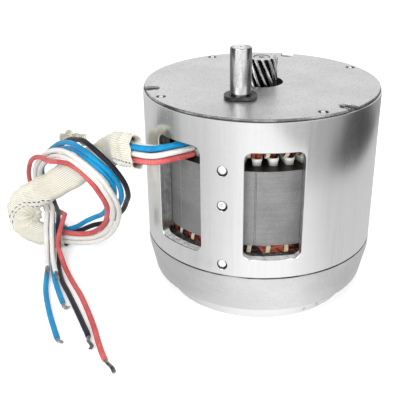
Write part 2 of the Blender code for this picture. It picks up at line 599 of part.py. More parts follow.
def stator_winding():
    """Both rings of end turns with the legs that join them through the slots, as one body."""
    upper_z = STACK_TOP_Z + UPPER_TURNS_STANDOFF_HEIGHT
    lower_z = STACK_Z - FIT
    top_z = upper_z + UPPER_TURNS_HEIGHT
    low_z = lower_z - LOWER_TURNS_HEIGHT
    waist = LEG_OUTER_R - LEG_INNER_R
    upper = [(LEG_INNER_R, upper_z), (LEG_OUTER_R, upper_z),
             (TURNS_OUTER_R, upper_z + 0.3 * UPPER_TURNS_HEIGHT),
             (TURNS_OUTER_R - 0.15 * waist, top_z), (LEG_INNER_R + TURNS_LEAN_SHARE * waist, top_z)]
    lower = [(LEG_INNER_R, lower_z), (LEG_OUTER_R, lower_z),
             (TURNS_OUTER_R, lower_z - 0.12 * LOWER_TURNS_HEIGHT),
             (TURNS_OUTER_R - 0.25 * waist, low_z), (LEG_INNER_R + TURNS_LEAN_SHARE * waist, low_z)]
    leg = SLOT_WIDTH_ANGLE / 2 - math.degrees(FIT / LEG_INNER_R)
    bm = bmesh.new()

    def column(points, az):
        return [bm.verts.new((*polar(r, az), z)) for r, z in points]

    columns = []
    for k in range(SLOTS):
        middle = SLOT_AZ + 360 / SLOTS * k
        for az in (middle - leg, middle + leg):
            columns.append((column(upper, az), column(lower, az)))
    for k, (left, right) in enumerate(zip(columns, columns[1:] + columns[:1])):
        in_slot = k % 2 == 0
        for a, b in zip(left, right):
            for i in range(len(a)):
                j = (i + 1) % len(a)
                if not (in_slot and i == 0):
                    bm.faces.new((a[i], a[j], b[j], b[i]))
        if in_slot:
            (a, c), (b, d) = left, right
            bm.faces.new((a[0], a[1], c[1], c[0]))
            bm.faces.new((b[0], b[1], d[1], d[0]))
            bm.faces.new((a[0], b[0], d[0], c[0]))
            bm.faces.new((a[1], b[1], d[1], c[1]))
    return place("stator_winding", finish(bm, "stator_winding"), ((0.30, 0.07, 0.05), 0.3, 0.45))


def rotor(rotor_axis):
    """Shaft and squirrel-cage core; the shaft's steps seat both bearings and the pinion."""
    seat_r = BEARING_BORE_DIAMETER / 2
    body_r = ROTOR_SHAFT_DIAMETER / 2
    nose_r = SHAFT_NOSE_DIAMETER / 2
    c = SHAFT_CHAMFER
    foot = LOWER_BEARING_HEIGHT - SHAFT_STUB_LENGTH
    profile = [(0, foot), (seat_r - c, foot), (seat_r, foot + c),
               (seat_r, LOWER_BEARING_TOP_Z + FIT), (body_r, LOWER_BEARING_TOP_Z + FIT),
               (body_r, UPPER_BEARING_Z - FIT), (seat_r, UPPER_BEARING_Z - FIT),
               (seat_r, PINION_Z - FIT), (nose_r, PINION_Z - FIT),
               (nose_r, PINION_TOP_Z - FIT), (0, PINION_TOP_Z - FIT)]
    place("rotor_shaft", turned("rotor_shaft", profile, INNER_SIDES),
          ((0.55, 0.55, 0.56), 1.0, 0.28), parent=rotor_axis)
    bore = body_r + FIT
    ring_r = ROTOR_R - END_RING_SETBACK_WIDTH
    h, e = STACK_LENGTH, END_RING_HEIGHT
    core = [(bore, 0), (END_RING_INNER_R, 0), (END_RING_INNER_R, -e), (ring_r, -e), (ROTOR_R, 0),
            (ROTOR_R, h), (ring_r, h + e), (END_RING_INNER_R, h + e), (END_RING_INNER_R, h), (bore, h)]
    place("rotor_core", turned("rotor_core", core, INNER_SIDES),
          ((0.50, 0.50, 0.50), 0.9, 0.45), (0, 0, STACK_Z), parent=rotor_axis)


def pinion(rotor_axis):
    """Helical gear: involute flanks at the transverse section, twisted along its length."""
    helix = math.radians(PINION_HELIX)
    transverse = math.atan(math.tan(math.radians(PINION_PRESSURE)) / math.cos(helix))
    pitch_r = PINION_MODULE / math.cos(helix) * PINION_TEETH / 2
    base_r = pitch_r * math.cos(transverse)
    tip_r = pitch_r + PINION_MODULE
    root_r = pitch_r - 1.25 * PINION_MODULE

    def flank(radius):
        """Half of the tooth's angle at a radius."""
        angle = math.acos(min(1.0, base_r / radius))
        grown = math.tan(transverse) - transverse - (math.tan(angle) - angle)
        return math.pi / 2 / PINION_TEETH + grown

    shape = [(root_r, flank(base_r) + 0.04), (base_r, flank(base_r)), (pitch_r, flank(pitch_r)),
             (tip_r, flank(tip_r))]
    outline = []
    for k in range(PINION_TEETH):
        middle = 2 * math.pi * k / PINION_TEETH
        for r, half in shape:
            outline.append((r * math.cos(middle - half), r * math.sin(middle - half)))
        for r, half in reversed(shape):
            outline.append((r * math.cos(middle + half), r * math.sin(middle + half)))
    bore = ring_points(SHAFT_NOSE_DIAMETER / 2 + FIT, INNER_SIDES)
    twist = -PINION_LENGTH * math.tan(helix) / pitch_r
    steps = 3
    levels = [(PINION_LENGTH * k / steps, twist * k / steps) for k in range(steps + 1)]
    mesh = prism("pinion", [outline, bore], levels)
    return place("pinion", mesh, ((0.30, 0.30, 0.31), 1.0, 0.30), (0, 0, PINION_Z),
                 parent=rotor_axis)


def idler_axle():
    """Plain post pressed into the plate, and the thin collar with wrench flats at its foot."""
    r = AXLE_DIAMETER / 2
    neck = r - AXLE_GROOVE_DEPTH
    seat = FIT + COLLAR_THICKNESS
    foot = -(PLATE_FLANGE_THICKNESS + PLATE_SPIGOT_HEIGHT)
    c = AXLE_CHAMFER
    profile = [(0, foot), (r, foot), (r, seat), (neck, seat), (neck, seat + AXLE_GROOVE_HEIGHT),
               (r, seat + AXLE_GROOVE_HEIGHT), (r, AXLE_HEIGHT - c), (r - c, AXLE_HEIGHT),
               (0, AXLE_HEIGHT)]
    place("idler_axle", turned("idler_axle", profile, INNER_SIDES),
          ((0.60, 0.60, 0.60), 1.0, 0.30), (*AXLE_PLACE, PLATE_TOP_Z))
    full, half = COLLAR_DIAMETER / 2, COLLAR_FLATS_WIDTH / 2
    corner = math.asin(min(0.98, half / full))
    side = [full * np.array((math.cos(a), math.sin(a))) for a in np.linspace(-corner, corner, 9)]
    outline = [tuple(p) for p in side] + [tuple(-p) for p in side]
    bore = ring_points(r + FIT, INNER_SIDES)
    mesh = prism("axle_collar", [outline, bore], [(0, 0), (COLLAR_THICKNESS, 0)])
    place("axle_collar", mesh, ((0.05, 0.05, 0.05), 0.6, 0.45), (*AXLE_PLACE, PLATE_TOP_Z + FIT))


def spline(points, places):
    """Centripetal cubic through points; places count along the points."""
    p = np.asarray(points, float)
    p = np.vstack([2 * p[0] - p[1], p, 2 * p[-1] - p[-2]])
    out = []
    for s in places:
        i = min(int(s), len(p) - 4)
        a = s - i
        p0, p1, p2, p3 = p[i:i + 4]
        d1, d2, d3 = (math.sqrt(np.linalg.norm(q)) for q in (p1 - p0, p2 - p1, p3 - p2))
        m1 = ((p1 - p0) / d1 - (p2 - p0) / (d1 + d2) + (p2 - p1) / d2) * d2
        m2 = ((p2 - p1) / d2 - (p3 - p1) / (d2 + d3) + (p3 - p2) / d3) * d2
        out.append((2 * a ** 3 - 3 * a ** 2 + 1) * p1 + (a ** 3 - 2 * a ** 2 + a) * m1
                   + (3 * a ** 2 - 2 * a ** 3) * p2 + (a ** 3 - a ** 2) * m2)
    return np.array(out)


def fitted(points):
    """Harness points in millimetres, as metres beside the real tube; low ones keep their height."""
    p = np.array(points, float) * MM
    x, y = polar(TUBE_R - ROUTE_TUBE_R, WINDOW_AZ[1])
    p[:, 0] += x
    p[:, 1] += y
    share = np.clip((p[:, 2] - ROUTE_LOW_Z) / (ROUTE_RIM_Z - ROUTE_LOW_Z), 0, 1)
    p[:, 2] += share * (RIM_Z - ROUTE_RIM_Z)
    return p


def bundle_frames(places):
    """Middle of the bundle in metres, and its sideways and forward directions."""
    rows = [point for point, front in ROUTE]
    last = len(ROUTE) - 1
    middle = fitted(spline(rows, places))
    along = spline(rows, np.clip(places + 0.001, 0, last))
    along -= spline(rows, np.clip(places - 0.001, 0, last))
    along /= np.linalg.norm(along, axis=1)[:, None]
    fronts = np.array([front for point, front in ROUTE], float)
    forward = np.array([np.interp(places, range(last + 1), fronts[:, k]) for k in range(3)]).T
    forward -= (forward * along).sum(1)[:, None] * along
    forward /= np.linalg.norm(forward, axis=1)[:, None]
    return middle, np.cross(along, forward), forward


def eased(keys, places, column):
    """Value of one column of the keys at each place, with soft starts and stops."""
    at = [key[0] for key in keys]
    value = np.array([key[column] for key in keys])
    i = np.clip(np.searchsorted(at, places, side="right") - 1, 0, len(at) - 2)
    a = np.clip((places - np.take(at, i)) / (np.take(at, i + 1) - np.take(at, i)), 0, 1)
    a = a * a * (3 - 2 * a)
    return value[i] * (1 - a) + value[i + 1] * a


def stations():
    """Places along the route at even steps, closer together where it bends."""
    fine = np.arange(0, len(ROUTE) - 1 + 0.001, 0.05)
    p = spline([point for point, front in ROUTE], fine) * MM
    step = np.diff(p, axis=0)
    length = np.linalg.norm(step, axis=1)
    heading = step / length[:, None]
    chosen, run, last = [0.0], 0.0, heading[0]
    for k in range(1, len(heading)):
        run += length[k - 1]
        turned_by = math.acos(max(-1.0, min(1.0, float(heading[k] @ last))))
        ends = abs(fine[k] - SLEEVE_FROM) < 0.01 or abs(fine[k] - SLEEVE_TO) < 0.01
        if run >= LEAD_STEP or turned_by > math.radians(32) or ends:
            chosen.append(float(fine[k]))
            run, last = 0.0, heading[k]
    chosen.append(float(len(ROUTE) - 1))
    return np.array(chosen)


def lead_path(name, places):
    """Points of one lead in metres."""
    keys, tail = LEADS[name]
    at = np.append(places[places < keys[-1][0] - 0.35], keys[-1][0])
    middle, side, forward = bundle_frames(at)
    u = eased(keys, at, 1) * LEAD_PITCH
    w = eased(keys, at, 2) * LEAD_PITCH
    return np.vstack([middle + u[:, None] * side + w[:, None] * forward, fitted(tail)])


def lead(name, colour, places):
    """A round cable; its last stretch is the thinner bare strand."""
    path = lead_path(name, places)
    curve = bpy.data.curves.new(name, "CURVE")
    curve.dimensions = "3D"
    curve.bevel_depth = LEAD_DIAMETER / 2
    curve.bevel_resolution = 1
    curve.use_fill_caps = True
    line = curve.splines.new("POLY")
    line.points.add(len(path) - 1)
    for point, where in zip(line.points, path):
        point.co = (*where, 1)
    line.points[-1].radius = STRAND_SCALE
    piece = bpy.data.objects.new(name, curve)
    bpy.context.scene.collection.objects.link(piece)
    curve.materials.append(material(name, colour, 0.0, 0.55))
    return piece


def sleeve(places):
    """Woven sleeve round the leads: an open flat tube along the middle line."""
    at = places[(places >= SLEEVE_FROM - 0.01) & (places <= SLEEVE_TO + 0.01)]
    middle, side, forward = bundle_frames(at)
    widths = np.interp(at, SLEEVE_NARROWS, (SLEEVE_UPPER_WIDTH, SLEEVE_WIDTH))
    corners = 6

    def outline(radius, flat):
        right = [(flat + radius * math.cos(a), radius * math.sin(a))
                 for a in np.linspace(-math.pi / 2, math.pi / 2, corners)]
        return right + [(-u, -w) for u, w in right]

    bm = bmesh.new()
    skins = []
    for radius in (SLEEVE_DEPTH / 2, SLEEVE_DEPTH / 2 - SLEEVE_WALL):
        skins.append([[bm.verts.new(m + u * s + w * f)
                       for u, w in outline(radius, (width - SLEEVE_DEPTH) / 2)]
                      for m, s, f, width in zip(middle, side, forward, widths)])
    for rings in skins:
        for a, b in zip(rings, rings[1:]):
            for i in range(len(a)):
                bm.faces.new((a[i - 1], a[i], b[i], b[i - 1]))
    for end in (0, -1):
        a, b = skins[0][end], skins[1][end]
        for i in range(len(a)):
            bm.faces.new((a[i - 1], a[i], b[i], b[i - 1]))
    return place("lead_sleeve", finish(bm, "lead_sleeve"), ((0.85, 0.83, 0.74), 0.0, 0.75))


def harness():
    """Six leads in their sleeve."""
    blue, white = (0.01, 0.20, 0.52), (0.86, 0.83, 0.74)
    colours = {"lead_red": (0.62, 0.10, 0.08), "lead_black": (0.02, 0.02, 0.05),
               "lead_white_1": white, "lead_white_2": white,
               "lead_blue_1": blue, "lead_blue_2": blue}
    places = stations()
    for name in LEADS:
        lead(name, colours[name], places)
    sleeve(places)


def main():
    for old in list(bpy.data.objects):
        bpy.data.objects.remove(old, do_unlink=True)
    rotor_axis = bpy.data.objects.new("rotor_axis", None)
    bpy.context.scene.collection.objects.link(rotor_axis)
    side_holes = side_hole_cutters()
    head_holes, shank_holes = plate_hole_cutters()
    notches, notch_holes = notch_cutters()
    housing_tube(window_cutters() + side_holes + shank_holes + notch_holes)
    end_bell([hole for hole in side_holes if hole.matrix_world.translation.z < TUBE_Z + SPIGOT_HEIGHT])
    gear_plate(head_holes + notches)
    screws()
    bearings(rotor_axis)
    stator_core()
    stator_winding()
    rotor(rotor_axis)
    pinion(rotor_axis)
    idler_axle()
    harness()
    bpy.context.view_layer.update()


main()
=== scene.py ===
import json
from math import acos, asin, atan, atan2, cos, degrees, hypot, pi, radians, sin, sqrt, tan

import bmesh
import bpy
import numpy as np
from mathutils import Matrix, Vector
from mathutils.geometry import tessellate_polygon

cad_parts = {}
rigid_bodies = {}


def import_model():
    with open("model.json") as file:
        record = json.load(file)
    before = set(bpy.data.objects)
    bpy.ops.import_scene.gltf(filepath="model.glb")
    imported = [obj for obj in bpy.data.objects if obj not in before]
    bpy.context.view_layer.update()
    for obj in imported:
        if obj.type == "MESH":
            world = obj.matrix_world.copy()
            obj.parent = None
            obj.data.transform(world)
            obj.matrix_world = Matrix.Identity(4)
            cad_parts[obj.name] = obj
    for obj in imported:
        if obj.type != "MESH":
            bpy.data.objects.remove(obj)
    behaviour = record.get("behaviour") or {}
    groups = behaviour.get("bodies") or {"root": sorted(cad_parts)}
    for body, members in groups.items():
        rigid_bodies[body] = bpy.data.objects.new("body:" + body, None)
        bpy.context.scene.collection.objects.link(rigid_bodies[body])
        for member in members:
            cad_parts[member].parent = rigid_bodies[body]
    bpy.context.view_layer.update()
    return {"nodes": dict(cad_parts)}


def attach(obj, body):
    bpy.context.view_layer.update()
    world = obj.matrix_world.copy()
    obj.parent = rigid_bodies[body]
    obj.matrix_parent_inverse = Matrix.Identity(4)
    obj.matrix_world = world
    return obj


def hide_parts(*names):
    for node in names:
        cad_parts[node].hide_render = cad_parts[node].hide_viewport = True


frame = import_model()

MM = 0.001
TURN = 2 * pi
FIT = 0.0003

# Sizes of the solids, in metres, as the frame has them
TUBE_R = 0.075
TUBE_Z = 0.0376
TUBE_LENGTH = 0.0984
RIM_Z = TUBE_Z + TUBE_LENGTH
LANDING_R = 0.0663
LOWER_BORE_R = 0.0698
COLLAR_BORE_R = 0.0625
COLLAR_DEPTH = 0.0150
LOWER_BORE_DEPTH = 0.0149
LANDING_TAPER = 0.0015
RIM_CHAMFER = 0.0006
WINDOW_AZ = (2.0, -45.5, 182.0, 134.5)
WINDOW_SIZE = (0.0348, 0.068)
WINDOW_Z = 0.0500
WINDOW_CORNER = 0.0048
BELL_HEIGHT = 0.0373
PLATE_R = 0.0742
PLATE_Z = RIM_Z + FIT
PLATE_FLANGE = 0.0014
PLATE_TOP_Z = PLATE_Z + PLATE_FLANGE
PLATE_SPIGOT = 0.0070
GEAR_HOLE_R = 0.01385
NOTCH_AZ = (-80.0, 40.0, 160.0)
NOTCH_WIDTH = 0.0085
NOTCH_DEPTH = 0.0095
PLATE_SCREW_AZ = (-64.6, 25.4, 115.4, 205.4)
PLATE_SCREW_R = 0.069
PLATE_SCREW_HEAD_R = 0.0028
SIDE_SCREW_AZ = (-21.6, 158.4)
SIDE_SCREW_HEIGHTS = (0.0683, 0.0463, 0.0071)
SIDE_SCREW_R = 0.0027
SIDE_SCREW_SUNK = 0.0006
STATOR_R = 0.066
BORE_R = 0.040
STACK_Z = 0.055
STACK_LENGTH = 0.0482
STACK_TOP_Z = STACK_Z + STACK_LENGTH
SLOTS = 36
SLOT_AZ = 3.5
SLOT_HALF_ANGLE = 2.6
SLOT_MOUTH_HALF_ANGLE = 1.3
SLOT_INNER_R = 0.0424
SLOT_OUTER_R = 0.0570
SEAM_AZ = -6.5
SEAMS = 8
TURNS_INNER_R = 0.0432
UPPER_BEARING_Z = 0.1163
PINION_Z = 0.1300
PINION_LENGTH = 0.0234
PINION_TOP_Z = PINION_Z + PINION_LENGTH
PINION_TEETH = 13
PINION_MODULE = 0.00125
PINION_HELIX = 23.0
PINION_PRESSURE = 20.0
SHAFT_NOSE_R = 0.005
AXLE_PLACE = (-0.0150, -0.0345)
AXLE_R = 0.0064
AXLE_HEIGHT = 0.0305
COLLAR_R = 0.0100
COLLAR_FLATS = 0.0160
COLLAR_THICKNESS = 0.0020
LEAD_DIAMETER = 0.0036
LEAD_PITCH = 0.00405
LEAD_STEP = 0.0120
SLEEVE_WIDTH = 0.0170
SLEEVE_UPPER_WIDTH = 0.0210
SLEEVE_DEPTH = 0.0100
SLEEVE_WALL = 0.0007
SLEEVE_FROM = 4
SLEEVE_TO = 18
SLEEVE_NARROWS = (11.5, 14)
RIB = 0.0014
TRACER_AT = 0.0268
TRACER_GAP = 0.0036

# Smoothness
BODY_SIDES = 288
ROUND_SIDES = 96
LEAD_SIDES = 18
LEAD_SAMPLE = 0.0012

# Camera, fitted to the circles in the photograph
CAMERA_PLACE = (-0.03984, -0.44466, 0.26707)
CAMERA_TILT = 64.46
CAMERA_ROLL = -0.81
CAMERA_LENS = 64.8

# Middle line of the harness in millimetres, with the direction of its front layer
ROUTE = (
    ((-44.6, -41.6, 110.0), (0.70, -0.70, 0)),
    ((-50.0, -46.0, 110.0), (0.45, -0.90, 0)),
    ((-58.0, -48.4, 109.8), (0.10, -1, 0)),
    ((-67.5, -48.6, 109.4), (-0.15, -1, 0)),
    ((-77.0, -44.5, 108.2), (-0.55, -0.85, 0)),
    ((-85.0, -33.0, 105.0), (-0.85, -0.50, 0)),
    ((-90.5, -16.0, 99.5), (-0.90, -0.40, 0)),
    ((-96.0, 2.0, 92.0), (-0.90, -0.45, 0)),
    ((-105.0, 19.0, 82.0), (-0.80, -0.60, 0)),
    ((-118.0, 32.5, 70.0), (-0.65, -0.75, 0)),
    ((-133.0, 40.0, 58.5), (-0.35, -0.95, 0)),
    ((-147.5, 43.0, 49.0), (-0.15, -1, 0)),
    ((-160.5, 43.5, 42.3), (0, -1, 0)),
    ((-171.8, 43.2, 36.0), (0, -1, 0)),
    ((-176.8, 42.8, 25.0), (0, -1, 0)),
    ((-172.2, 42.2, 13.8), (0, -1, 0)),
    ((-161.5, 41.0, 8.9), (0, -1, 0)),
    ((-151.5, 39.5, 8.8), (0, -1, 0)),
    ((-142.0, 37.0, 8.8), (0, -1, 0)),
    ((-130.0, 33.0, 11.8), (0, -1, 0)),
    ((-117.0, 26.0, 19.5), (0, -1, 0)),
    ((-105.5, 15.5, 32.0), (0, -1, 0)),
    ((-100.0, 2.0, 47.5), (0, -1, 0)),
    ((-98.5, -9.5, 63.0), (-0.10, -1, 0)),
    ((-103.0, -14.5, 76.5), (-0.30, -1, 0)),
    ((-113.5, -9.5, 85.5), (-0.70, -0.75, 0)),
    ((-125.0, 5.0, 87.0), (-0.85, -0.50, 0)),
    ((-136.5, 23.5, 82.0), (-0.85, -0.50, 0)),
    ((-147.5, 42.5, 72.5), (-0.80, -0.60, 0)),
    ((-157.5, 58.5, 60.5), (-0.60, -0.80, 0)),
    ((-164.0, 69.5, 48.5), (-0.20, -1, 0)),
    ((-165.0, 74.5, 36.0), (0, -1, 0.15)),
    ((-161.5, 71.5, 26.5), (0, -0.75, 0.65)),
    ((-156.5, 62.0, 22.0), (0, -0.25, 1)),
    ((-152.8, 50.0, 22.4), (0, 0, 1)),
    ((-151.0, 38.5, 22.2), (0, -0.15, 1)),
    ((-149.8, 28.0, 18.0), (0, -0.50, 0.90)),
    ((-148.5, 18.5, 10.8), (0, -0.50, 0.85)),
    ((-147.0, 9.0, 6.0), (0, -0.30, 0.95)),
    ((-145.6, 0.0, 4.1), (0, 0, 1)),
)

# Each lead's place in the bundle: (place along the route, sideways, forwards), the last two in
# pitches, and then the points in millimetres by which its free end lies down
LEADS = {
    "lead_red": (
        ((0, -1, .5), (2, -1, .5), (3.2, -1.4, .5), (4.4, -1, .5), (18, -1, .5), (20, .1, .5),
         (21.7, -.8, .5), (23.5, -1.65, .5), (26, -1.65, .5), (27.3, -1.3, 1.55), (29, 1.3, 1.6),
         (30.1, 2, .6), (31, 2.2, -.6), (32, 1.6, -1.75), (33.2, -1.6, -1.75), (34.2, -2.3, -.6),
         (35.2, -2.1, .4), (37, -1, .5)),
        ((-141, 8.5, 7.8), (-137, -1, 4.2), (-132, -12, 2.3), (-126.8, -23, 1.9),
         (-121.5, -34, 1.9), (-114, -53, 1.9), (-107, -73, 1.9), (-102, -90, 1.9),
         (-96.5, -105, 1.9), (-89, -117, 1.9))),
    "lead_white_1": (
        ((0, 0, .5), (2, 0, .5), (3.2, -.4, .5), (4.4, 0, .5), (18, 0, .5), (20, 1.1, .5),
         (21.7, .2, .5), (23.5, -.65, .5), (26, -.65, .5), (29, -.4, .5), (32, 0, .5),
         (38, 0, .5)),
        ((-145, 1, 6.3), (-143, -6.5, 5.9), (-141.4, -11, 5.6), (-138.3, -20, 4.6))),
    "lead_white_2": (
        ((0, 1, -.5), (2, .6, -.5), (3.2, .5, -.5), (4.4, 1, -.53), (5.4, 1.4, -.53),
         (6.2, 1.76, -.37), (7, 1.93, 0), (7.8, 1.76, .37), (8.6, 1.4, .53), (10, 1, .5),
         (18, 1, .5), (20, 2.1, .5), (21.7, 1.2, .5), (23.5, .35, .5), (26, .35, .5),
         (29, .6, .5), (32, 1, .5), (37, 1, .5)),
        ((-151.2, 8.5, 8.4), (-149.6, 0, 6.5), (-148.8, -4, 6), (-147.2, -12, 5))),
    "lead_blue_1": (
        ((0, -1, -.5), (2, -1.4, -.5), (3.2, -1.5, -.5), (4.4, -1, -.5), (18, -1, -.5),
         (20, -2.1, -.5), (21.7, -1.2, -.5), (23.5, .75, -.5), (26, .75, -.5), (29, -.2, -.5),
         (32, 0, -.5), (39, 0, -.5)),
        ((-141.8, -15, 1.95), (-136, -32, 1.95), (-131, -45, 1.95), (-127, -53, 1.95))),
    "lead_blue_2": (
        ((0, 1, .5), (2, 1.05, .5), (3.2, .75, .5), (4.4, 1, .53), (5.4, 1.4, .53),
         (6.2, 1.03, .37), (7, .87, 0), (7.8, 1.03, -.37), (8.6, 1.4, -.53), (10, 1, -.5),
         (18, 1, -.5), (20, .5, -.5), (21.7, .6, -.5), (23.5, 1.75, -.5), (26, 1.75, -.5),
         (29, .8, -.5), (32, 1, -.5), (39, 1, -.5)),
        ((-148.4, -10, 1.95), (-145.5, -29, 1.95), (-139, -53, 1.95), (-131, -76, 1.95),
         (-128, -84, 1.95), (-125, -90, 1.95))),
    "lead_black": (
        ((0, 0, -.5), (2, -.4, -.5), (3.2, -.5, -.5), (4.4, 0, -.5), (18, 0, -.5),
         (19.5, -.5, -1.2), (20.5, .6, -1.6), (22, 1.95, -1.5), (23.5, 2.8, -.5),
         (24.5, 2.8, -.6), (25.3, 2.75, -1.4), (26.6, 1.9, -1.7), (28, 1, -1.65),
         (30.5, 0, -1.65), (32, -.9, -1.4), (33.3, -1, -.5), (39, -1, -.5)),
        ((-136.6, -16.5, 1.95), (-129, -34, 1.95), (-121, -53, 1.95), (-114.5, -69, 1.95),
         (-109.5, -82, 1.95), (-107, -97, 1.95))),
}

# Each colour's dark and light shade, threads round the lead, gloss and depth of its braid
LEAD_LOOKS = (
    ("red", (0.55, 0.070, 0.075), (0.77, 0.185, 0.180), 7, (0.45, 0.6), 0.00009),
    ("white", (0.80, 0.78, 0.73), (0.91, 0.90, 0.86), 9, (0.5, 0.65), 0.00007),
    ("blue", (0.0, 0.19, 0.44), (0.0, 0.34, 0.66), 7, (0.34, 0.46), 0.00005),
    ("black", (0.006, 0.004, 0.012), (0.016, 0.013, 0.028), 7, (0.34, 0.5), 0.00003),
)

# How far the bare strands of each lead splay and how far they curl
LEAD_ENDS = {
    "lead_red": (0.0013, 0.0009), "lead_white_1": (0.0004, 0.0), "lead_white_2": (0.0005, 0.0),
    "lead_blue_1": (0.0026, 0.0026), "lead_blue_2": (0.0009, 0.0022), "lead_black": (0.0009, 0.0030),
}


class Nodes:
    """Short way to write a material's nodes."""

    def __init__(self, made):
        self.tree = made.node_tree
        self.shader = self.tree.nodes.get("Principled BSDF")

    def feed(self, node, key, value):
        if isinstance(value, bpy.types.NodeSocket):
            self.tree.links.new(value, node.inputs[key])
        else:
            node.inputs[key].default_value = value

    def add(self, kind, inputs=None, **settings):
        node = self.tree.nodes.new("ShaderNode" + kind)
        for key, value in settings.items():
            setattr(node, key, value)
        for key, value in (inputs or {}).items():
            self.feed(node, key, value)
        return node

    def math(self, operation, a, b=0.0, c=0.0):
        return self.add("Math", {0: a, 1: b, 2: c}, operation=operation).outputs[0]

    def times(self, a, b):
        return self.math("MULTIPLY", a, b)

    def linear(self, value, slope, offset):
        return self.math("MULTIPLY_ADD", value, slope, offset)

    def most(self, a, b):
        return self.math("MAXIMUM", a, b)

    def apart(self, a, b):
        return self.math("ABSOLUTE", self.math("SUBTRACT", a, b))

    def axis(self, where, number):
        return self.add("SeparateXYZ", {0: where}).outputs[number]

    def radius(self, where):
        """Distance from the Z axis."""
        squares = [self.math("POWER", self.axis(where, k), 2.0) for k in (0, 1)]
        return self.math("SQRT", self.math("ADD", *squares))

    def smooth(self, value, low, high, start=0.0, end=1.0):
        return self.add("MapRange", {0: value, 1: low, 2: high, 3: start, 4: end},
                        interpolation_type="SMOOTHSTEP").outputs[0]

    def noise(self, where, scale, detail=4.0, rough=0.55):
        return self.add("TexNoise", {"Vector": where, "Scale": scale, "Detail": detail,
                                     "Roughness": rough}).outputs["Fac"]

    def stretch(self, where, scale):
        return self.add("Mapping", {"Vector": where, "Scale": scale}).outputs[0]

    def streaks(self, where, scale, detail, rough):
        return self.noise(self.stretch(where, scale), 1.0, detail, rough)

    def ramp(self, value, stops):
        """Colours by their places; a single number is a grey."""
        made = self.add("ValToRGB", {0: value})
        band = made.color_ramp
        while len(band.elements) < len(stops):
            band.elements.new(0.5)
        for element, (at, colour) in zip(band.elements, stops.items()):
            element.position = at
            element.color = (*(colour if isinstance(colour, tuple) else (colour,) * 3), 1)
        return made.outputs[0]

    def mix(self, share, a, b, blend="MIX"):
        return self.add("Mix", {0: share, 6: a, 7: b}, data_type="RGBA", blend_type=blend).outputs[2]

    def shaded(self, colour, shade, blue=None):
        """Colour times a value, with its blue a little lower if asked."""
        third = self.times(shade, blue) if blue else shade
        tint = self.add("CombineColor", {0: shade, 1: shade, 2: third}).outputs[0]
        return self.mix(1.0, colour, tint, "MULTIPLY")

    def bump(self, height, distance, normal=None):
        inputs = {"Height": height, "Strength": 1.0, "Distance": distance}
        if normal is not None:
            inputs["Normal"] = normal
        return self.add("Bump", inputs).outputs[0]


def surface(name, stops, metallic=0.0, rough=(0.3, 0.45), grain=900.0, clouds=35.0, stretch=(1, 1, 1),
            relief=0.00004, extra=None, **sockets):
    """Material whose colour, gloss and relief all vary, on two sizes of noise."""
    made = bpy.data.materials.new(name)
    made.use_nodes = True
    n = Nodes(made)
    where = n.add("TexCoord").outputs["Object"]
    fine = n.noise(n.stretch(where, stretch), grain, 5.0, 0.6)
    broad = n.noise(where, clouds, 4.0, 0.6)
    both = n.linear(fine, 0.45, n.times(broad, 0.55))
    colour = n.ramp(n.smooth(both, 0.33, 0.67), stops)
    gloss = n.add("MapRange", {0: both, 1: 0.35, 2: 0.65, 3: rough[0], 4: rough[1]}).outputs[0]
    normal = n.bump(fine, relief)
    if extra:
        colour, gloss, normal = extra(n, where, colour, gloss, normal)
    sockets.update({"Base Color": colour, "Roughness": gloss, "Normal": normal, "Metallic": metallic})
    for key, value in sockets.items():
        n.feed(n.shader, key.replace("_", " "), value)
    return made


def radial_tangent(made):
    """Let the gloss follow turning lines round Z."""
    n = Nodes(made)
    n.feed(n.shader, "Tangent", n.add("Tangent", direction_type="RADIAL", axis="Z").outputs[0])
    return made


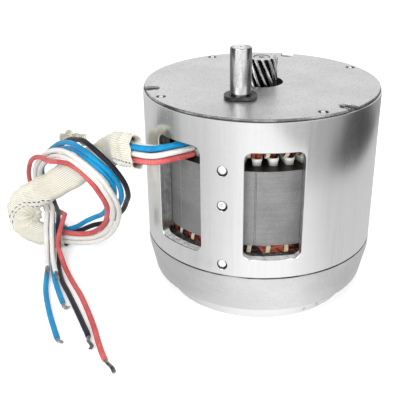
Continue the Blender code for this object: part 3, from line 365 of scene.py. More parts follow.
class Shape:
    """Grids of quads gathered into one mesh, with a UV map in metres and a tone."""

    def __init__(self):
        self.verts, self.loops, self.starts, self.uvs, self.tones = [], [], [], [], []
        self.count = 0
        self.corners = 0

    def grid(self, points, u=None, v=None, wrap=True, caps=False, tone=0.0):
        """Points in rows of rings; rings run anticlockwise round the way the rows go."""
        rows, cols = points.shape[:2]
        u = np.zeros(rows) if u is None else np.asarray(u, float)
        v = np.linspace(0, 1, cols + 1) if v is None else np.asarray(v, float)
        v = np.broadcast_to(v, (rows, v.shape[-1]))
        last = cols if wrap else cols - 1
        i, j = np.meshgrid(np.arange(rows - 1), np.arange(last), indexing="ij")
        i, j = i.ravel(), j.ravel()
        k = (j + 1) % cols
        quads = np.stack([i * cols + j, i * cols + k, (i + 1) * cols + k, (i + 1) * cols + j], 1)
        h = j + 1 if wrap else k
        uv = np.stack([np.stack([u[i], v[i, j]], 1), np.stack([u[i], v[i, h]], 1),
                       np.stack([u[i + 1], v[i + 1, h]], 1), np.stack([u[i + 1], v[i + 1, j]], 1)], 1)
        self._faces(quads + self.count, uv)
        if caps:
            first = np.arange(cols)[::-1] + self.count
            final = np.arange(cols) + (rows - 1) * cols + self.count
            self._polygon(first)
            self._polygon(final)
        self.verts.append(points.reshape(-1, 3))
        self.tones.append(np.full(rows * cols, tone) if np.isscalar(tone) else np.asarray(tone).ravel())
        self.count += rows * cols

    def _faces(self, quads, uv):
        self.loops.append(quads.ravel())
        self.uvs.append(uv.reshape(-1, 2))
        self.starts.append(self.corners + 4 * np.arange(len(quads)))
        self.corners += 4 * len(quads)

    def _polygon(self, ring):
        self.loops.append(ring)
        self.uvs.append(np.zeros((len(ring), 2)))
        self.starts.append(np.array([self.corners]))
        self.corners += len(ring)

    def cap(self, outer, hole, up):
        """Flat end between two rings, facing up or down."""
        every = np.vstack([outer, hole])
        for a, b, c in tessellate_polygon([[Vector(p) for p in ring] for ring in (outer, hole)]):
            faces_up = np.cross(every[b] - every[a], every[c] - every[a])[2] > 0
            self._polygon(np.array([a, b, c] if faces_up == up else [a, c, b]) + self.count)
        self.verts.append(every)
        self.tones.append(np.zeros(len(every)))
        self.count += len(every)

    def mesh(self, name, sharp=40.0):
        made = bpy.data.meshes.new(name)
        verts = np.concatenate(self.verts).astype(np.float32)
        loops = np.concatenate(self.loops).astype(np.int32)
        starts = np.concatenate(self.starts).astype(np.int32)
        made.vertices.add(len(verts))
        made.vertices.foreach_set("co", verts.ravel())
        made.loops.add(len(loops))
        made.loops.foreach_set("vertex_index", loops)
        made.polygons.add(len(starts))
        made.polygons.foreach_set("loop_start", starts)
        made.update(calc_edges=True)
        layer = made.uv_layers.new(name="UVMap")
        layer.data.foreach_set("uv", np.concatenate(self.uvs).astype(np.float32).ravel())
        tone = made.attributes.new("tone", "FLOAT", "POINT")
        tone.data.foreach_set("value", np.concatenate(self.tones).astype(np.float32))
        smooth(made, sharp)
        return made


def smooth(mesh, sharp=35.0):
    """Shade a mesh smooth, with a crease wherever faces turn by more than an angle."""
    mesh.shade_smooth()
    mesh.set_sharp_from_angle(angle=radians(sharp))
    return mesh


def piece(name, form, look, body, replaces=(), matrix=None, sharp=60):
    """One named piece, from a mesh or a shape, that rides on a body and stands for CAD nodes."""
    made = bpy.data.objects.new(name, form.mesh(name, sharp) if isinstance(form, Shape) else form)
    bpy.context.scene.collection.objects.link(made)
    if matrix is not None:
        made.matrix_world = matrix
    if look is not None:
        made.data.materials.clear()
        made.data.materials.append(look)
    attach(made, body)
    if replaces:
        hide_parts(*replaces)
    return made


def painted(mesh, looks, pick):
    """Give each face the look whose number its middle and normal lead to."""
    for look in looks:
        mesh.materials.append(look)
    for face in mesh.polygons:
        face.material_index = pick(face.center, face.normal)
    return mesh


def polar(radius, az):
    """Place at a radius and at an angle in degrees, counted from -Y towards +X."""
    return radius * sin(radians(az)), -radius * cos(radians(az))


def ring_points(radius, count, start=0.0):
    steps = [start + TURN * k / count for k in range(count)]
    return [(radius * cos(a), radius * sin(a)) for a in steps]


def closed_up(bm, name):
    """Mesh of a finished bmesh, with its faces turned outwards."""
    bmesh.ops.recalc_face_normals(bm, faces=bm.faces)
    mesh = bpy.data.meshes.new(name)
    bm.to_mesh(mesh)
    bm.free()
    return mesh


def turned(name, profile, sides):
    """Spin a profile of (radius, height) about Z; one that starts on the axis ends on it."""
    bm = bmesh.new()
    verts = [bm.verts.new((r, 0, z)) for r, z in profile]
    edges = [bm.edges.new(pair) for pair in zip(verts, verts[1:])]
    if profile[0][0] > 0:
        edges.append(bm.edges.new((verts[-1], verts[0])))
    bmesh.ops.spin(bm, geom=verts + edges, cent=(0, 0, 0), axis=(0, 0, 1), angle=TURN, steps=sides,
                   use_merge=True)
    bmesh.ops.remove_doubles(bm, verts=bm.verts, dist=0.000001)
    return closed_up(bm, name)


def layered(name, layers):
    """Join outlines of equal length, each (points, height or list of heights), into a closed solid."""
    bm = bmesh.new()
    rows = []
    for points, z in layers:
        heights = z if hasattr(z, "__len__") else [z] * len(points)
        rows.append([bm.verts.new((x, y, h)) for (x, y), h in zip(points, heights)])
    for low, high in zip(rows, rows[1:]):
        for i in range(len(low)):
            j = (i + 1) % len(low)
            bm.faces.new((low[i], low[j], high[j], high[i]))
    bm.faces.new(rows[0][::-1])
    bm.faces.new(rows[-1])
    return closed_up(bm, name)


def scaled(points, extra):
    """Outline grown outwards by a length, along its corners' normals."""
    p = np.array(points, float)
    along = np.roll(p, -1, 0) - np.roll(p, 1, 0)
    out = np.stack([along[:, 1], -along[:, 0]], 1)
    out /= np.linalg.norm(out, axis=1)[:, None]
    return [tuple(q) for q in p + extra * out]


def carved(mesh, cutters):
    """Cut solids, each (mesh, matrix), out of a mesh."""
    scene = bpy.context.scene.collection.objects
    main = bpy.data.objects.new("carving", mesh)
    scene.link(main)
    tools = []
    for k, (tool, matrix) in enumerate(cutters):
        guide = bpy.data.objects.new("cutter", tool)
        scene.link(guide)
        guide.matrix_world = matrix
        step = main.modifiers.new("cut_%d" % k, "BOOLEAN")
        step.operation = "DIFFERENCE"
        step.solver = "EXACT"
        step.object = guide
        tools.append(guide)
    bpy.context.view_layer.update()
    shown = main.evaluated_get(bpy.context.evaluated_depsgraph_get())
    made = bpy.data.meshes.new_from_object(shown)
    made.name = mesh.name
    for old in [main] + tools:
        bpy.data.objects.remove(old)
    return made


def outwards(az, radius, z):
    """Frame on the tube's side: local Z points outwards, local Y points up."""
    a = radians(az)
    out = Vector((sin(a), -cos(a), 0))
    up = Vector((0, 0, 1))
    matrix = Matrix((up.cross(out), up, out)).transposed().to_4x4()
    matrix.translation = out * radius + up * z
    return matrix


def upright(x, y, z, turn=0.0):
    return Matrix.Translation((x, y, z)) @ Matrix.Rotation(turn, 4, "Z")


def rounded_rectangle(width, height, corner, steps=8, along=24):
    """Outline with round corners and divided sides, anticlockwise."""
    arcs = []
    for k, (sx, sy) in enumerate(((1, 1), (-1, 1), (-1, -1), (1, -1))):
        arcs.append([(sx * (width / 2 - corner) + corner * cos(pi / 2 * (k + i / steps)),
                      sy * (height / 2 - corner) + corner * sin(pi / 2 * (k + i / steps)))
                     for i in range(steps + 1)])
    points = []
    for k, arc in enumerate(arcs):
        points += arc
        (x0, y0), (x1, y1) = arc[-1], arcs[(k + 1) % 4][0]
        count = along if k % 2 == 0 else along * 2
        points += [(x0 + (x1 - x0) * i / count, y0 + (y1 - y0) * i / count) for i in range(1, count)]
    return points


def sweep(path, radius, sides, turn=0.0):
    """Rings of a round tube along points; radius is one number or one for each point."""
    path = np.asarray(path, float)
    along = np.gradient(path, axis=0)
    along /= np.linalg.norm(along, axis=1)[:, None]
    across = np.cross(along[0], (0, 0, 1) if abs(along[0][2]) < 0.9 else (0, 1, 0))
    sides_at = np.empty_like(path)
    for k, direction in enumerate(along):
        across = across - (across @ direction) * direction
        across /= np.linalg.norm(across)
        sides_at[k] = across
    second = np.cross(along, sides_at)
    angles = turn + TURN * np.arange(sides) / sides
    radius = np.broadcast_to(radius, len(path))[:, None, None]
    c, s = np.cos(angles)[:, None], np.sin(angles)[:, None]
    return path[:, None] + radius * (c * sides_at[:, None] + s * second[:, None])


def lengths(path):
    """Length of the path up to each of its points."""
    steps = np.linalg.norm(np.diff(path, axis=0), axis=1)
    return np.concatenate([[0], np.cumsum(steps)])


def spline(points, places):
    """Centripetal cubic through points; places count along the points."""
    p = np.asarray(points, float)
    p = np.vstack([2 * p[0] - p[1], p, 2 * p[-1] - p[-2]])
    out = []
    for s in places:
        i = min(int(s), len(p) - 4)
        a = s - i
        p0, p1, p2, p3 = p[i:i + 4]
        d1, d2, d3 = (sqrt(np.linalg.norm(q)) for q in (p1 - p0, p2 - p1, p3 - p2))
        m1 = ((p1 - p0) / d1 - (p2 - p0) / (d1 + d2) + (p2 - p1) / d2) * d2
        m2 = ((p2 - p1) / d2 - (p3 - p1) / (d2 + d3) + (p3 - p2) / d3) * d2
        out.append((2 * a ** 3 - 3 * a ** 2 + 1) * p1 + (a ** 3 - 2 * a ** 2 + a) * m1
                   + (3 * a ** 2 - 2 * a ** 3) * p2 + (a ** 3 - a ** 2) * m2)
    return np.array(out)


def even(path, step):
    """The same line with points at even steps."""
    run = lengths(path)
    at = np.linspace(0, run[-1], max(2, int(round(run[-1] / step)) + 1))
    return np.stack([np.interp(at, run, path[:, k]) for k in range(3)], 1)


def camera():
    """The photograph's view."""
    eye = bpy.data.cameras.new("camera")
    eye.lens = CAMERA_LENS
    eye.sensor_width = 36
    eye.clip_start, eye.clip_end = 0.01, 20
    holder = bpy.data.objects.new("camera", eye)
    bpy.context.scene.collection.objects.link(holder)
    tilt = Matrix.Rotation(radians(CAMERA_TILT), 4, "X")
    roll = Matrix.Rotation(radians(CAMERA_ROLL), 4, "Z")
    holder.matrix_world = Matrix.Translation(CAMERA_PLACE) @ tilt @ roll
    bpy.context.scene.camera = holder


def bundle_frames(places):
    """Middle of the bundle in metres, and its sideways and forward directions."""
    rows = [point for point, front in ROUTE]
    last = len(ROUTE) - 1
    middle = spline(rows, places) * MM
    along = spline(rows, np.clip(places + 0.001, 0, last))
    along -= spline(rows, np.clip(places - 0.001, 0, last))
    along /= np.linalg.norm(along, axis=1)[:, None]
    fronts = np.array([front for point, front in ROUTE], float)
    forward = np.array([np.interp(places, range(last + 1), fronts[:, k]) for k in range(3)]).T
    forward -= (forward * along).sum(1)[:, None] * along
    forward /= np.linalg.norm(forward, axis=1)[:, None]
    return middle, np.cross(along, forward), forward


def eased(keys, places, column):
    """One column of a lead's keys at places along the route, eased from key to key."""
    at = [key[0] for key in keys]
    value = np.array([key[column] for key in keys])
    i = np.clip(np.searchsorted(at, places, side="right") - 1, 0, len(at) - 2)
    a = np.clip((places - np.take(at, i)) / (np.take(at, i + 1) - np.take(at, i)), 0, 1)
    a = a * a * (3 - 2 * a)
    return value[i] * (1 - a) + value[i + 1] * a


def stations():
    """Places along the route at even steps, closer together where it bends."""
    fine = np.arange(0, len(ROUTE) - 1 + 0.001, 0.05)
    p = spline([point for point, front in ROUTE], fine) * MM
    step = np.diff(p, axis=0)
    length = np.linalg.norm(step, axis=1)
    heading = step / length[:, None]
    chosen, run, last = [0.0], 0.0, heading[0]
    for k in range(1, len(heading)):
        run += length[k - 1]
        turned_by = acos(max(-1.0, min(1.0, float(heading[k] @ last))))
        ends = abs(fine[k] - SLEEVE_FROM) < 0.01 or abs(fine[k] - SLEEVE_TO) < 0.01
        if run >= LEAD_STEP or turned_by > radians(32) or ends:
            chosen.append(float(fine[k]))
            run, last = 0.0, heading[k]
    chosen.append(float(len(ROUTE) - 1))
    return np.array(chosen)


def lead_points(name):
    """The solid's own points in metres."""
    places = stations()
    keys, tail = LEADS[name]
    at = np.append(places[places < keys[-1][0] - 0.35], keys[-1][0])
    middle, side, forward = bundle_frames(at)
    u = eased(keys, at, 1) * LEAD_PITCH
    w = eased(keys, at, 2) * LEAD_PITCH
    return np.vstack([middle + u[:, None] * side + w[:, None] * forward, np.array(tail) * MM])


def laid(frames, u, w):
    """Rows of points sideways and forwards of a line's middle."""
    middle, side, forward = frames
    return middle[:, None] + u[..., None] * side[:, None] + w[..., None] * forward[:, None]


def lead_look(name, dark, light, weave, rough, deep):
    """Insulation with a smooth or braided skin, rubbed paler in places."""

    def extra(n, where, colour, gloss, normal):
        uv = n.add("UVMap").outputs[0]
        turns = n.times(n.axis(uv, 1), TURN * weave)
        run = n.times(n.axis(uv, 0), TURN / 0.0011)
        braid = n.times(*(n.math("SINE", n.math(way, turns, run)) for way in ("ADD", "SUBTRACT")))
        return n.shaded(colour, n.smooth(braid, -1.0, 0.4, 0.76, 1.0)), gloss, n.bump(braid, deep, normal)

    return surface(name, {0: dark, 1: light}, 0.0, rough, 700.0, 60.0, relief=0.00003, extra=extra,
                   Specular_IOR_Level=0.32)


def strands(path, seed, splay, curl):
    """Bare copper ends: twisted wires that curl and open towards their tips."""
    chance = np.random.default_rng(seed)
    shape = Shape()
    path = even(np.asarray(path), 0.0006)
    run = lengths(path)
    share = run / run[-1]
    along = np.gradient(path, axis=0)
    along /= np.linalg.norm(along, axis=1)[:, None]
    side = np.cross(along, (0, 0, 1))
    side /= np.linalg.norm(side, axis=1)[:, None]
    up = np.cross(side, along)
    bent = (curl * np.clip(share - 0.15, 0, 1) ** 1.2)[:, None]
    path = path + bent * (np.sin(6.5 * share + seed)[:, None] * side - share[:, None] * along
                          + 0.5 * (1 - np.cos(7 * share))[:, None] * up)
    for k in range(19):
        ring = 0.0 if k == 0 else (0.00048 if k < 7 else 0.00095)
        count = 6 if k < 7 else 12
        phase = TURN * (k - 1) / count + (0.3 if k >= 7 else 0)
        open_by = splay * chance.uniform(0.2, 1.0) * np.clip(share - 0.35, 0, 1) ** 1.6
        turn = phase + run / 0.0085 * TURN * (0.6 if k < 7 else 1.0) * (1 - 0.45 * share)
        wide = ring * (1 - 0.1 * share) + open_by
        offset = (np.cos(turn)[:, None] * side + 0.75 * np.sin(turn)[:, None] * up) * wide[:, None]
        reach = int(len(path) * chance.uniform(0.86, 1.0))
        line = (path + offset)[:reach]
        line[:, 2] = np.maximum(line[:, 2], 0.00035)
        shape.grid(sweep(line, 0.00024, 6), u=run[:reach], caps=True, tone=chance.uniform())
    return shape


def harness():
    """Six leads in the order of their seeds, each an insulated cable with bare strands."""
    looks = {colour: lead_look(colour + "_insulation", *rest) for colour, *rest in LEAD_LOOKS}
    tinned = surface("tinned_strands", {0: 0.14, 0.5: 0.38, 1: (0.66, 0.64, 0.60)}, 1.0, (0.28, 0.5),
                     2500.0, 300.0, relief=0.00002)
    for number, (name, (splay, curl)) in enumerate(LEAD_ENDS.items()):
        points = lead_points(name)
        line = even(spline(points, np.arange(0, len(points) - 2 + 0.001, 0.125)), LEAD_SAMPLE)
        bare = spline(points[-4:], np.linspace(2, 3, 12))
        radius = np.full(len(line), LEAD_DIAMETER / 2)
        radius[-2:] *= (0.97, 0.86)
        shape = Shape()
        shape.grid(sweep(line, radius, LEAD_SIDES), u=lengths(line), caps=True)
        colour = name.split("_")[1]
        cable = piece(name + "_cable", shape, looks[colour], "motor", [name], sharp=50)
        cable.visible_glossy = False
        start = np.vstack([line[-1] - (line[-1] - line[-4]) * 0.5, bare])
        wires = piece(name + "_strands", strands(start, 20 + number, splay, curl), tinned, "motor",
                      sharp=50)
        whole = np.vstack([line, bare[1:]])
        float(lengths(whole)[-1])


def sleeve_look():
    """Woven fibreglass with ribs lengthwise, a fine cross weave, and two dashed tracer threads."""

    def extra(n, where, colour, gloss, normal):
        uv = n.add("UVMap").outputs[0]
        u, v = n.axis(uv, 0), n.axis(uv, 1)
        across = n.math("SINE", n.times(u, TURN / 0.00085))
        ribs = n.math("SINE", n.times(v, TURN / RIB))
        normal = n.bump(n.linear(across, 0.22, n.times(ribs, 0.5)), 0.00016, normal)
        shade = n.times(n.smooth(ribs, -1.0, -0.2, 0.60, 1.0), n.smooth(across, -1.0, 0.0, 0.86, 1.0))
        colour = n.shaded(colour, shade, 0.985)
        dashes = n.math("GREATER_THAN", n.math("FRACT", n.times(u, 1 / 0.0034)), 0.42)
        lines = 0.0
        for at in (TRACER_AT, TRACER_AT + TRACER_GAP):
            lines = n.math("ADD", n.math("LESS_THAN", n.apart(v, at), 0.00042), lines)
        blue = n.times(n.math("MINIMUM", lines, 1.0), dashes)
        return n.mix(blue, colour, (0.012, 0.050, 0.20, 1)), gloss, normal

    return surface("woven_sleeve", {0: (0.74, 0.71, 0.58), 1: (0.90, 0.88, 0.79)}, 0.0, (0.62, 0.8),
                   1500.0, 45.0, relief=0.00005, extra=extra, Specular_IOR_Level=0.3, Sheen_Weight=0.15)


def sleeve_outline(corners, width):
    """Flat oval round the leads, as (sideways, forwards), and its outward directions."""
    flat, radius = (width - SLEEVE_DEPTH) / 2, SLEEVE_DEPTH / 2
    points, normals = [], []
    for side in (1, -1):
        for a in np.linspace(-pi / 2, pi / 2, corners):
            points.append((side * (flat + radius * cos(a)), side * radius * sin(a)))
            normals.append((side * cos(a), side * sin(a)))
        x0, y0 = points[-1]
        for i in range(1, corners // 2):
            points.append((x0 - side * 2 * flat * i / (corners // 2), y0))
            normals.append((0.0, float(side)))
    return np.array(points), np.array(normals)


def thread(shape, line, thick, thin):
    """One loose thread of the sleeve's cloth."""
    shape.grid(sweep(line, np.linspace(thick, thin, 5), 4), v=np.full(5, 0.25 * RIB), caps=True)


def scrap_shape(chance):
    """Crumpled, frayed end of the cloth caught behind the leads."""
    frames = bundle_frames(np.linspace(25.9, 28.1, 60))
    middle, side = frames[:2]
    share = np.linspace(0, 1, 60)[:, None]
    s = np.linspace(0, 1, 22)[None]
    top = (0.0122 + 0.0012 * np.sin(share * 9 + 2) + 0.0009 * np.sin(share * 23 + 1)
           - 0.006 * np.clip(np.abs(share - 0.5) - 0.36, 0, 1) / 0.14)
    u = 0.0045 + (top - 0.0045) * s
    w = (-0.0104 + 0.0010 * np.sin(share * 14 + 3 * s) + 0.0006 * np.sin(share * 31 + 7 * s)
         + 0.0009 * np.cos(9 * s + 6 * share))
    front, rear = laid(frames, u, w), laid(frames, u, w - SLEEVE_WALL)
    shape = Shape()
    shape.grid(np.concatenate([front, rear[:, ::-1]], 1), u=lengths(middle), v=np.linspace(0, 0.024, 45),
               caps=True)
    edge, s = front[:, -1], np.linspace(0, 1, 5)[:, None]
    for k in range(34):
        row = int(chance.integers(2, 58))
        aim = side[row] + chance.uniform(-0.8, 0.8, 3)
        line = edge[row] - side[row] * 0.001 + aim * s * chance.uniform(0.001, 0.003)
        thread(shape, line, 0.00014, 0.00008)
    return shape


def gather_shape():
    """Cloth bunched up on the inner side of the fold."""
    a = np.linspace(0, TURN, 97)[:-1][None]
    t = np.linspace(0.04, pi - 0.04, 26)[:, None]
    creases = 1 + 0.10 * np.sin(11 * a + 2 * np.cos(t)) * np.sin(t)
    x = -0.1652 + 0.0056 * np.sin(t) * np.cos(a) * creases
    z = 0.0252 + 0.0082 * np.sin(t) * np.sin(a) * creases
    y = 0.0425 + 0.0036 * np.cos(t) * creases
    grid = np.stack([x, y, z], 2)
    shape = Shape()
    shape.grid(grid, u=np.linspace(0, 0.012, 26), v=np.linspace(0, 0.045, 97), caps=True)
    return shape


def sleeve():
    """Cloth round the leads: waves, creases in the fold, ribs, two frayed mouths."""
    chance = np.random.default_rng(3)
    at = np.arange(SLEEVE_FROM, SLEEVE_TO + 0.001, 0.02)
    run = lengths(bundle_frames(at)[0])
    keep = np.append(np.interp(np.arange(0, run[-1], 0.0007), run, at), float(SLEEVE_TO))
    frames = bundle_frames(keep)
    middle = frames[0]
    run = lengths(middle)
    widths = np.interp(keep, SLEEVE_NARROWS, (SLEEVE_UPPER_WIDTH, SLEEVE_WIDTH))
    points, normals = sleeve_outline(50, SLEEVE_UPPER_WIDTH)
    narrow = sleeve_outline(50, SLEEVE_WIDTH)[0]
    share = ((SLEEVE_UPPER_WIDTH - widths) / (SLEEVE_UPPER_WIDTH - SLEEVE_WIDTH))[:, None, None]
    oval = points[None] * (1 - share) + narrow[None] * share
    twist = 0.021 * np.clip((keep - 12.2) / 2.6, 0, 1) ** 1.2
    twist += np.interp(keep, (6.2, 7.2, 11.0, 11.9), (0, -0.009, -0.009, 0))
    v = lengths(np.vstack([points, points[:1]]))[None] + twist[:, None]
    around, whole = v[:, :-1], v[0, -1]
    waves = np.zeros(around.shape)
    for k in range(12):
        length, turns = chance.uniform(0.010, 0.040), chance.integers(0, 4)
        high = chance.uniform(0.10, 0.26) * MM
        phase = run[:, None] * TURN / length + chance.uniform(0, 6) + around / whole * TURN * turns
        waves += high * np.sin(phase)
    bend = np.exp(-((keep - 13.6) / 1.5) ** 2)[:, None]
    angle = np.arctan2(points[:, 1], points[:, 0])[None]
    creases = bend * (0.0004 * np.sin(run[:, None] * TURN / 0.0068 + 0.9 * np.sin(2 * angle))
                      + 0.0003 * np.sin(run[:, None] * TURN / 0.0043 + 2.0 * np.cos(angle)))
    flare = 0.0007 * np.exp(-np.minimum(run, run[-1] - run) / 0.0018)[:, None]
    ribs = 0.00013 * np.sin(around * TURN / RIB)
    frayed = flare * (1 + 0.5 * np.sin(around * TURN / 0.0067))
    off = np.clip(waves + creases, -0.00045, 0.0016) + ribs + frayed
    hollow = bend * 0.0048 * np.clip(-points[None, :, 0] / SLEEVE_UPPER_WIDTH * 2, 0, 1) ** 2
    shape = Shape()
    skins = []
    for inner, order in ((0.0, 1), (SLEEVE_WALL * 0.9, -1)):
        spread = off - inner
        u = oval[..., 0] + spread * normals[None, :, 0] - hollow
        skin = laid(frames, u, oval[..., 1] + spread * normals[None, :, 1])
        skin[..., 2] = np.maximum(skin[..., 2], 0.0004)
        skins.append(skin[:, ::order])
        shape.grid(skins[-1], u=run, v=v[:, ::order])
    outer, lining = skins
    for row, order in ((0, 1), (-1, -1)):
        rims = np.stack([outer[row], lining[row][::-1]])[::order]
        shape.grid(rims[::-1], v=np.full(v.shape[1], 0.25 * RIB))
    s = np.linspace(0, 1, 5)[:, None]
    for row, along in ((0, middle[0] - middle[4]), (-1, middle[-1] - middle[-5])):
        along /= np.linalg.norm(along)
        for k in range(46):
            root = outer[row, int(chance.integers(0, outer.shape[1]))]
            out = root - middle[row]
            out /= np.linalg.norm(out)
            reach = chance.uniform(0.0008, 0.0030)
            aside = chance.uniform(-0.9, 0.9, 3) * 0.4
            line = (root - along * 0.001 + along * s * (reach + 0.001)
                    + (out * 0.35 + aside) * s ** 2 * reach)
            line[:, 2] = np.maximum(line[:, 2], 0.0003)
            thread(shape, line, 0.00013, 0.00007)
    look = sleeve_look()
    cover = piece("lead_sleeve_weave", shape, look, "motor", ["lead_sleeve"], sharp=70)
    scrap = piece("lead_sleeve_scrap", scrap_shape(chance), look, "motor")
    gather = piece("lead_sleeve_gather", gather_shape(), look, "motor")
    tuple(middle[0])
    [tuple(p) for p in even(middle, 0.004)]


def tube_look():
    """Turned aluminium with fine lines round the axis, faint upright streaks and handling marks."""

    def extra(n, where, colour, gloss, normal):
        lines = n.streaks(where, (5, 5, 2600), 3.0, 0.7)
        streaks = n.streaks(where, (300, 300, 9), 4.0, 0.65)
        gloss = n.math("ADD", gloss, n.linear(streaks, 0.10, n.linear(lines, 0.03, -0.065)))
        shade = n.times(n.smooth(lines, 0.3, 0.7, 0.985, 1.0), n.smooth(streaks, 0.25, 0.6, 0.955, 1.0))
        return n.shaded(colour, shade), gloss, n.bump(lines, 0.000003, normal)

    return radial_tangent(surface("turned_aluminium", {0: 0.90 * 0.96, 1: 0.90}, 1.0, (0.20, 0.26), 500.0,
                                  14.0, relief=0.000004, extra=extra, Anisotropic=0.55))


def cut_looks():
    """Milled walls of the windows, their pale speckled sills, and near-black painted shade for the
    insides of the small holes and faces hidden between parts.
    """
    milled = surface("milled_edge", {0: 0.30, 0.5: 0.52, 1: 0.74}, 0.95, (0.28, 0.42), 900.0, 160.0,
                     (1, 1, 0.06), 0.00002)
    sill = surface("milled_sill", {0: 0.22, 0.35: 0.62, 1: 0.88}, 0.25, (0.45, 0.6), 1500.0, 260.0,
                   relief=0.00005)
    # painted shade: a near-black colour standing in for the shade inside holes and gaps
    recess = surface("painted_shade_recess", {0: 0.02, 0.6: 0.07, 1: 0.30}, 0.5, (0.5, 0.7), 1200.0, 300.0,
                     relief=0.00003)
    return milled, sill, recess


def cut_number(axes):
    """How painted() knows the walls of the cuts, given the place and way of each screw's axis."""

    def pick(c, normal):
        r = hypot(c.x, c.y)
        # painted shade: the tube's top face under the plate takes the near-black look
        if normal.z > 0.9 and c.z > RIM_Z - 0.0002 and r < TUBE_R - RIM_CHAMFER + 0.0001:
            return 3
        if r < 0.055 or abs(normal.x * c.x + normal.y * c.y) / r > 0.6:
            return 0
        # painted shade: the walls of the side screws' holes take the near-black look
        if any((c - at).cross(way).length < 0.0036 for at, way in axes):
            return 3
        if normal.z > 0.5 and WINDOW_Z - 0.001 < c.z < STACK_Z:
            return 2
        return int(WINDOW_Z - 0.001 < c.z < WINDOW_Z + WINDOW_SIZE[1] + 0.001)

    return pick


def window_cutter():
    """A bar through the wall that widens at the surface, for a broken edge that follows the tube."""
    edge = 0.00035
    outline = rounded_rectangle(*WINDOW_SIZE, WINDOW_CORNER)
    reach = TUBE_R - LANDING_R
    inner = sqrt(COLLAR_BORE_R ** 2 - (WINDOW_SIZE[0] / 2) ** 2) - reach

    def surface_at(points, extra):
        return [sqrt(TUBE_R ** 2 - x * x) + extra for x, y in points]

    wide = scaled(outline, 2 * edge)
    return layered("window", [(outline, inner), (outline, surface_at(outline, -edge)),
                              (wide, surface_at(wide, edge)), (wide, TUBE_R + reach)])


def round_cutter(name, radius, depth, edge, sides=48):
    """Drill with a countersunk mouth at height 0."""
    disc = ring_points(radius, sides)
    wide = ring_points(radius + 2 * edge, sides)
    return layered(name, [(disc, -depth), (disc, -edge), (wide, edge), (wide, 0.004)])


def housing():
    """Tube with its windows and holes; the side screws' holes reach into the bell."""
    landing_z = LOWER_BORE_DEPTH + LANDING_TAPER
    collar_z = TUBE_LENGTH - COLLAR_DEPTH
    c, foot = RIM_CHAMFER, 0.00025
    profile = [(TUBE_R - foot, 0), (TUBE_R, foot), (TUBE_R, TUBE_LENGTH - c),
               (TUBE_R - c * 0.15, TUBE_LENGTH - c * 0.35), (TUBE_R - c * 0.6, TUBE_LENGTH - c * 0.05),
               (TUBE_R - c, TUBE_LENGTH), (COLLAR_BORE_R, TUBE_LENGTH), (COLLAR_BORE_R, collar_z),
               (LANDING_R, collar_z - LANDING_TAPER), (LANDING_R, landing_z),
               (LOWER_BORE_R, LOWER_BORE_DEPTH), (LOWER_BORE_R, 0)]
    profile = [(r, z + TUBE_Z) for r, z in profile]
    bar, middle = window_cutter(), WINDOW_Z + WINDOW_SIZE[1] / 2
    tools = [(bar, outwards(az, 0, middle)) for az in WINDOW_AZ]
    hole = round_cutter("side_hole", SIDE_SCREW_R + 0.0006, 0.012, 0.0002)
    aside = Matrix.Translation((0.0005, -0.0001, 0))
    holes = [(hole, outwards(az, TUBE_R, TUBE_Z + height) @ aside)
             for az in SIDE_SCREW_AZ for height in SIDE_SCREW_HEIGHTS]
    shank = round_cutter("shank_hole", 0.0023, 0.0093, 0.0001, 24)
    tools += holes + [(shank, upright(*polar(PLATE_SCREW_R, az), RIM_Z)) for az in PLATE_SCREW_AZ]
    small = round_cutter("notch_hole", 0.0018, 0.0080, 0.0003, 32)
    tools += [(small, upright(*polar((TUBE_R + COLLAR_BORE_R) / 2, az), RIM_Z)) for az in NOTCH_AZ]
    mesh = smooth(carved(turned("housing_tube_body", profile, BODY_SIDES), tools), 30)
    axes = [(matrix.translation, matrix.col[2].to_3d()) for tool, matrix in holes]
    cuts = cut_looks()
    painted(mesh, (tube_look(), *cuts), cut_number(axes))
    piece("housing_tube_body", mesh, None, "motor", ["housing_tube"])
    bell(holes, cuts[2])


